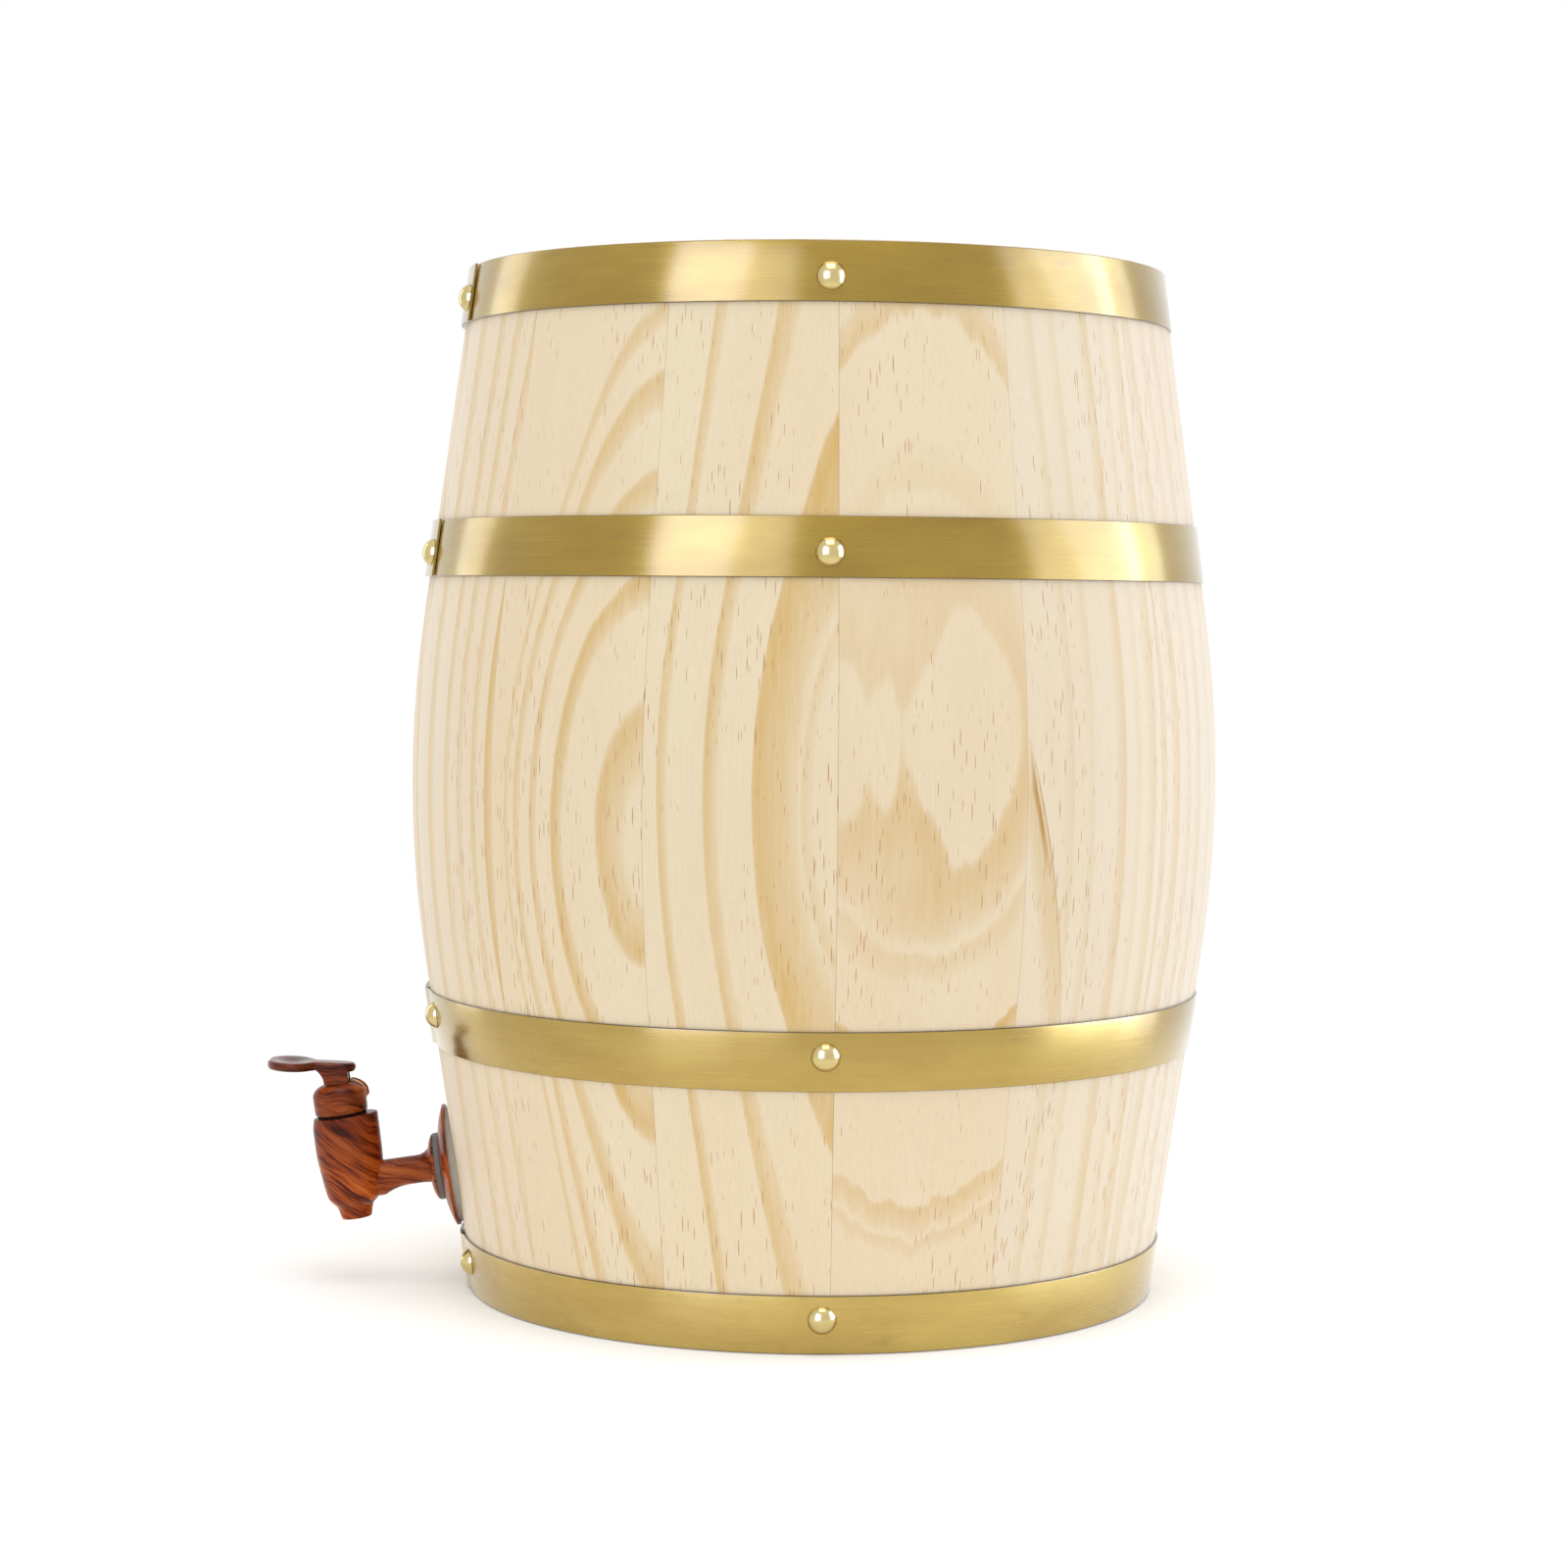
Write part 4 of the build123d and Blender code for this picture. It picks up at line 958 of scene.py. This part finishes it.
lever = {
    "under": 35.9, "thick": 2.8, "tilt": 2.6,  # the paddle's underside, thickness and tip-up in degrees
    "tip": 22.0, "tail": -6.5, "endGap": 0.02, "tailHalf": 4.5, "tailFrom": 10, "tailOver": 7,
    "spoonAt": 14.2, "spoonLong": 7.8, "spoonHalf": 11.0,
    "blend": 5.0, "blendFrom": 1, "blendRise": 3, "blendTo": 10, "blendFall": 4, "edgeShare": 0.98,
    "dish": 1.0, "dishLong": 6.7, "dishHalf": 9.8,
    "rows": 110, "flatSteps": 18, "edgeSteps": 9,
    "print": {"slant": 8, "tones": (0.40, 0.38, 0.9), "seed": 9.0, "gloss": 0.16},
}
cheek = {
    "foot": 31.75, "top": 36.6, "inside": 2.2, "outside": 4.5, "corner": 0.5,
    "front": [(31.75, 3.5), (32.3, 4.0), (33.6, 4.1), (34.8, 4.7), (36.6, 6.6)],  # height, distance out
    "rear": [(31.75, -3.4), (32.3, -4.0), (36.6, -4.05)],
    "leanFrom": 33, "leanOver": 3, "rows": 26, "cornerSteps": 6,
    "print": {"slant": 8, "tones": (0.72, 0.68, 0.8), "seed": 9.0, "gloss": 0.2},
}


def paddleWidths(out):
    # half width at each step: a tail with a round end and an oval spoon, blended where they meet
    tailHalf = lever["tailHalf"]
    tail = np.sqrt(tailHalf**2 - np.clip(tailHalf - (out - lever["tail"]), 0, tailHalf) ** 2)
    tail = tail * (1 - smooth((out - lever["tailFrom"]) / lever["tailOver"]))
    off = (out - lever["spoonAt"]) / lever["spoonLong"]
    spoon = lever["spoonHalf"] * np.sqrt(np.clip(1 - off**2, 0, 1))
    ease = lever["blend"] * smooth((out - lever["blendFrom"]) / lever["blendRise"])
    ease = ease * (1 - smooth((out - lever["blendTo"]) / lever["blendFall"])) + 1e-6  # never zero
    part = np.clip(0.5 + (spoon - tail) / (2 * ease), 0, 1)
    return tail + (spoon - tail) * part + ease * part * (1 - part) / 2


def paddleShell():
    # across each step from tail to tip: flat underside, round edges, a top that dips in the spoon
    half, gap = lever["thick"] / 2, lever["endGap"]
    step = (1 - np.cos(np.linspace(0, np.pi, lever["rows"]))) / 2
    out = lever["tail"] + gap + (lever["tip"] - lever["tail"] - 2 * gap) * step
    fromEnd = np.minimum(out - lever["tail"], lever["tip"] - out)
    thick = half * np.sqrt(1 - (1 - np.clip(fromEnd / half, 0, 1)) ** 2)
    wide = paddleWidths(out)
    edge = np.minimum(thick, wide * lever["edgeShare"])
    flat = np.linspace(-1, 1, lever["flatSteps"])
    bend = np.radians(np.linspace(-90, 90, lever["edgeSteps"])[1:-1])
    side = np.concatenate([flat, 0 * bend + 1, flat[::-1], 0 * bend - 1])
    bulge = np.concatenate([0 * flat, np.cos(bend), 0 * flat, -np.cos(bend)])
    lift = np.concatenate([0 * flat - 1, np.sin(bend), 0 * flat + 1, -np.sin(bend)])
    across = side * (wide - edge)[:, None] + bulge * edge[:, None]
    high = lift * thick[:, None]
    reach = np.hypot((out[:, None] - lever["spoonAt"]) / lever["dishLong"], across / lever["dishHalf"])
    high = high - np.where(high > 0, lever["dish"] * (1 - smooth(reach)), 0)
    tilt = math.radians(lever["tilt"])
    ahead = np.array([0, -math.cos(tilt), math.sin(tilt)])
    above = np.array([0, math.sin(tilt), math.cos(tilt)])
    base = pin + tapUp * (lever["under"] - tap["pinUp"]) * mm
    steps = out[:, None, None] * ahead + across[..., None] * tapAside + (high + half)[..., None] * above
    return loopShell(base + mm * steps)


def cheekShell(side):
    # rounded rectangles stacked from the heel up into the paddle
    up = np.linspace(cheek["foot"], cheek["top"], cheek["rows"])
    front, rear = (easyCurve(cheek[end], up)[:, None] for end in ("front", "rear"))
    corner, steps = cheek["corner"], cheek["cornerSteps"]
    bend = np.radians(np.linspace(0, 360, 4, endpoint=False)[:, None] + np.linspace(0, 90, steps)).ravel()
    isFront, isOut = np.repeat([1, 0, 0, 1], steps), np.repeat([1, 1, 0, 0], steps)
    out = np.where(isFront, front - corner, rear + corner) + corner * np.cos(bend)
    aside = np.where(isOut, cheek["outside"] - corner, cheek["inside"] + corner) + corner * np.sin(bend)
    lean = smooth((up - cheek["leanFrom"]) / cheek["leanOver"])[:, None]
    high = up[:, None] + math.tan(taper + math.radians(lever["tilt"])) * out * lean
    return loopShell(tapPoints(out, side * aside, high))


leverPrint = printedMaterial("printed_grain_lever", **lever["print"])
makePiece("lever_print", [paddleShell()], leverPrint, "lever", ["lever"])
cheekPrint = printedMaterial("printed_grain_cheeks", **cheek["print"])
cheekShells = [cheekShell(1), cheekShell(-1)]
makePiece("lever_cheeks_print", cheekShells, cheekPrint, "lever", ["lever"])
print("tap: body, bonnet and lever")


# CAD nodes that keep their shape

heads = {
    "lying": (math.pi / 2, 0, math.pi / 2),  # the head boards' grain runs along y
    "figures": [
        grainFigure(barrel["middle"], -0.15, 0.04, step=5.5 * mm, tint=(0.98, 0.96, 0.93), middle=0.0),
        grainFigure(barrel["middle"], 0.19, -0.03, step=4.8 * mm, tint=(1.00, 0.975, 0.945), middle=0.0),
    ],
    "seed": 31,
}
bung = {
    "turned": (0, 0, -0.4),
    "figure": grainFigure(0.03, 0.01, 0.0, step=3 * mm, tint=(0.90, 0.84, 0.76)),
    "seed": 47,
}
headPine, headPineTurned = (
    pineMaterial(f"head_pine_{number + 1}", heads["lying"], grown, heads["seed"] + number)
    for number, grown in enumerate(heads["figures"])
)
springSteel = plainMaterial("spring_steel", (0.55, 0.55, 0.55), 0.3, 1.0)
bySlot = {
    "head_pine": headPine,
    "bung_wood": pineMaterial("bung_wood", bung["turned"], bung["figure"], bung["seed"]),
    "printed_wood": printedMaterial("printed_grain_flange", slant=80, tones=(1.08, 1.0, 0.95), seed=13.0),
    "grey_rubber": plainMaterial("grey_rubber", (0.15, 0.145, 0.145), 0.5),
    "black_rubber": plainMaterial("black_rubber", (0.016, 0.007, 0.005), 0.7, shine=0.06),
    "clear_silicone": plainMaterial("clear_silicone", (0.62, 0.62, 0.60), 0.35),
    "white_plastic": plainMaterial("white_plastic", (0.66, 0.65, 0.61), 0.4),
    "spring_steel": springSteel,
}
byNode = {"wall_gasket": plainMaterial("pale_rubber", (0.40, 0.37, 0.325), 0.55)}
for head in ("bottom", "top"):  # every other board has its heart on the other side
    byNode[f"{head}_head_board_2"] = byNode[f"{head}_head_board_4"] = headPineTurned
for part in frame["record"]["subparts"]:
    if part["material_slot"] in bySlot:
        mesh = frame["nodes"][part["node"]].data
        mesh.materials.clear()
        mesh.materials.append(byNode.get(part["node"], bySlot[part["material_slot"]]))
print("CAD nodes: materials for", len(bySlot), "slots")


# Return spring: a coil with close end turns

spring = {
    "wire": 0.4, "coil": 4.2, "turns": 6, "foot": 9.45, "top": 25.35, "seat": 25.8, "close": 0.85,
    "steps": 40, "wireSteps": 16,
}


def springShell():
    # a circle carried along a helix that rises slowly over its first and last turn
    last, length, close = spring["turns"], spring["top"] - spring["foot"], spring["close"]
    turns = np.linspace(0, last, last * spring["steps"] + 1)
    angle = 2 * np.pi * turns
    outward = np.stack([np.cos(angle), np.sin(angle), 0 * angle], axis=-1)
    path = spring["coil"] * outward
    rise = [(0, 0), (1, close), (last - 1, length - close), (last, length)]
    path[:, 2] = spring["foot"] + easyCurve(rise, turns)
    ahead = np.gradient(path, axis=0)
    across = np.cross(ahead / np.linalg.norm(ahead, axis=1)[:, None], outward)
    bend = fullTurn(spring["wireSteps"])[:, None]
    ring = np.cos(bend) * outward[:, None] + np.sin(bend) * across[:, None]
    points = path[:, None] + spring["wire"] * ring
    return loopShell(tapPoints(points[..., 0], points[..., 1], points[..., 2]))


wound = [springShell()]
coil = makePiece("return_spring_coil", wound, springSteel, "barrel", ["return_spring"])
seat = tapPoints(0.0, 0.0, spring["seat"])
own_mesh(coil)


# Studio: pale floor that fades into a white surround, soft lamps

studio = {
    "surround": 0.90,  # the surround's strength as light, where 1 is what the camera sees
    "floorHalf": 3.0, "floorClear": 0.22, "floorFade": 0.75, "floorTone": 0.93, "floorGlow": 0.12,
    "lamps": [  # name, turn and lift in degrees, metres away, size, brightness, colour, for the brass alone
        ("left_softbox", -38, 14, 1.6, (0.66, 1.4), 3.1, (0.75, 0.94, 2.5), True),
        ("left_fill", -18, 14, 1.65, (0.46, 1.4), 1.2, (0.93, 1.15, 2.5), True),
        ("right_softbox", 89, 14, 1.6, (0.80, 1.4), 2.25, (0.83, 1.05, 2.4), True),
        ("right_fill", 67, 14, 1.65, (0.41, 1.4), 1.35, (0.88, 1.08, 2.4), True),
        ("right_low", 82, -7, 0.7, (0.46, 0.12), 4.5, (0.9, 1.1, 2.2), True),
        ("rear_softbox", -121, 14, 1.6, (0.46, 1.4), 1.45, (0.87, 1.0, 1.4), True),
        ("right_rim", 106, 10, 1.5, (0.5, 1.4), 2.0, (0.75, 0.9, 1.25), False),
        ("top_softbox", 0, 78, 1.5, (1.0, 1.0), 2.9, (1, 1, 1), False),
    ],
}


def floorPiece():
    # a pale sheet that glows a little and turns clear with its distance from the barrel
    mesh = bpy.data.meshes.new("studio_floor")
    half = studio["floorHalf"]
    corners = [(-half, -half, 0), (half, -half, 0), (half, half, 0), (-half, half, 0)]
    mesh.from_pydata(corners, [], [(0, 1, 2, 3)])
    floor = bpy.data.objects.new("studio_floor", mesh)
    bpy.context.scene.collection.objects.link(floor)
    material, tree = newMaterial("floor_paper")
    far = node(tree, "VectorMath", {0: objectPlace(tree)}, operation="LENGTH").outputs["Value"]
    fade = share(tree, far, studio["floorClear"], studio["floorFade"], ease="SMOOTHSTEP")
    paper = node(tree, "BsdfDiffuse", {"Color": (studio["floorTone"],) * 3 + (1,)}).outputs[0]
    glow = node(tree, "Emission", {"Color": (1, 1, 1, 1), "Strength": studio["floorGlow"]}).outputs[0]
    paper = node(tree, "AddShader", {0: paper, 1: glow}).outputs[0]
    clear = node(tree, "BsdfTransparent").outputs[0]
    blend = node(tree, "MixShader", {0: fade, 1: paper, 2: clear}).outputs[0]
    node(tree, "OutputMaterial", {"Surface": blend})
    mesh.materials.append(material)


def surround():
    # white to the camera and in reflections, softer as light on the object
    world = bpy.data.worlds.new("studio_surround")
    bpy.context.scene.world = world
    world.use_nodes = True
    tree = world.node_tree
    tree.nodes.clear()
    ray = node(tree, "LightPath").outputs
    seen = calc(tree, "ADD", ray["Is Camera Ray"], ray["Is Glossy Ray"])
    seen = calc(tree, "ADD", seen, ray["Is Transmission Ray"], clamp=True)
    strength = calc(tree, "MULTIPLY_ADD", seen, 1.0 - studio["surround"], studio["surround"])
    light = node(tree, "Background", {"Color": (1, 1, 1, 1), "Strength": strength}).outputs[0]
    node(tree, "OutputWorld", {"Surface": light})


def softbox(name, turn, lift, away, size, bright, colour, only):
    # a rectangular lamp that faces the barrel's middle, for everything or only for one group of pieces
    lamp = bpy.data.lights.new(name, "AREA")
    lamp.color = colour
    lamp.shape = "RECTANGLE"
    lamp.size, lamp.size_y = size
    lamp.energy = bright * math.pi * size[0] * size[1]
    box = bpy.data.objects.new(name, lamp)
    turn, lift = math.radians(turn), math.radians(lift)
    way = Vector((math.cos(turn) * math.cos(lift), math.sin(turn) * math.cos(lift), math.sin(lift)))
    box.location = Vector((0, 0, barrel["middle"])) + way * away
    box.rotation_euler = way.to_track_quat("Z", "Y").to_euler()
    box.visible_camera = False
    if only:
        box.light_linking.receiver_collection = only
    bpy.context.scene.collection.objects.link(box)


camera = {
    "focal": 3441.9, "centre": (830.1, 850.0), "picture": 1600,  # pixels
    "away": 1.0987, "height": 0.22312, "turn": -3.1, "pitch": 3.932, "roll": 0.479,  # metres and degrees
    "sensor": 36.0,
}


def placeCamera():
    # stands away from the barrel's axis, then turns, looks down and rolls
    turn, pitch, roll = (math.radians(camera[k]) for k in ("turn", "pitch", "roll"))
    ahead = np.array([-math.cos(turn), -math.sin(turn), 0])
    right = np.array([-math.sin(turn), math.cos(turn), 0])
    upright = np.array([0, 0, 1.0])
    look = ahead * math.cos(pitch) - upright * math.sin(pitch)
    rise = upright * math.cos(pitch) + ahead * math.sin(pitch)
    sideways = right * math.cos(roll) + rise * math.sin(roll)
    top = rise * math.cos(roll) - right * math.sin(roll)
    place = -ahead * camera["away"] + upright * camera["height"]
    lens = bpy.data.cameras.new("camera")
    lens.sensor_width = camera["sensor"]
    lens.lens = camera["focal"] / camera["picture"] * camera["sensor"]
    half = camera["picture"] / 2
    lens.shift_x = (half - camera["centre"][0]) / camera["picture"]
    lens.shift_y = (camera["centre"][1] - half) / camera["picture"]
    eye = bpy.data.objects.new("camera", lens)
    bpy.context.scene.collection.objects.link(eye)
    stand = np.eye(4)
    stand[:3] = np.stack([sideways, top, -look, place], axis=1)
    eye.matrix_world = Matrix(stand.tolist())
    bpy.context.scene.camera = eye


floorPiece()
surround()
metal = bpy.data.collections.new("brass_pieces")
for piece in brassPieces:
    metal.objects.link(piece)
for *lamp, brassOnly in studio["lamps"]:
    softbox(*lamp, metal if brassOnly else None)
placeCamera()
bpy.context.scene.view_settings.view_transform = "Standard"
print("studio and camera ready")
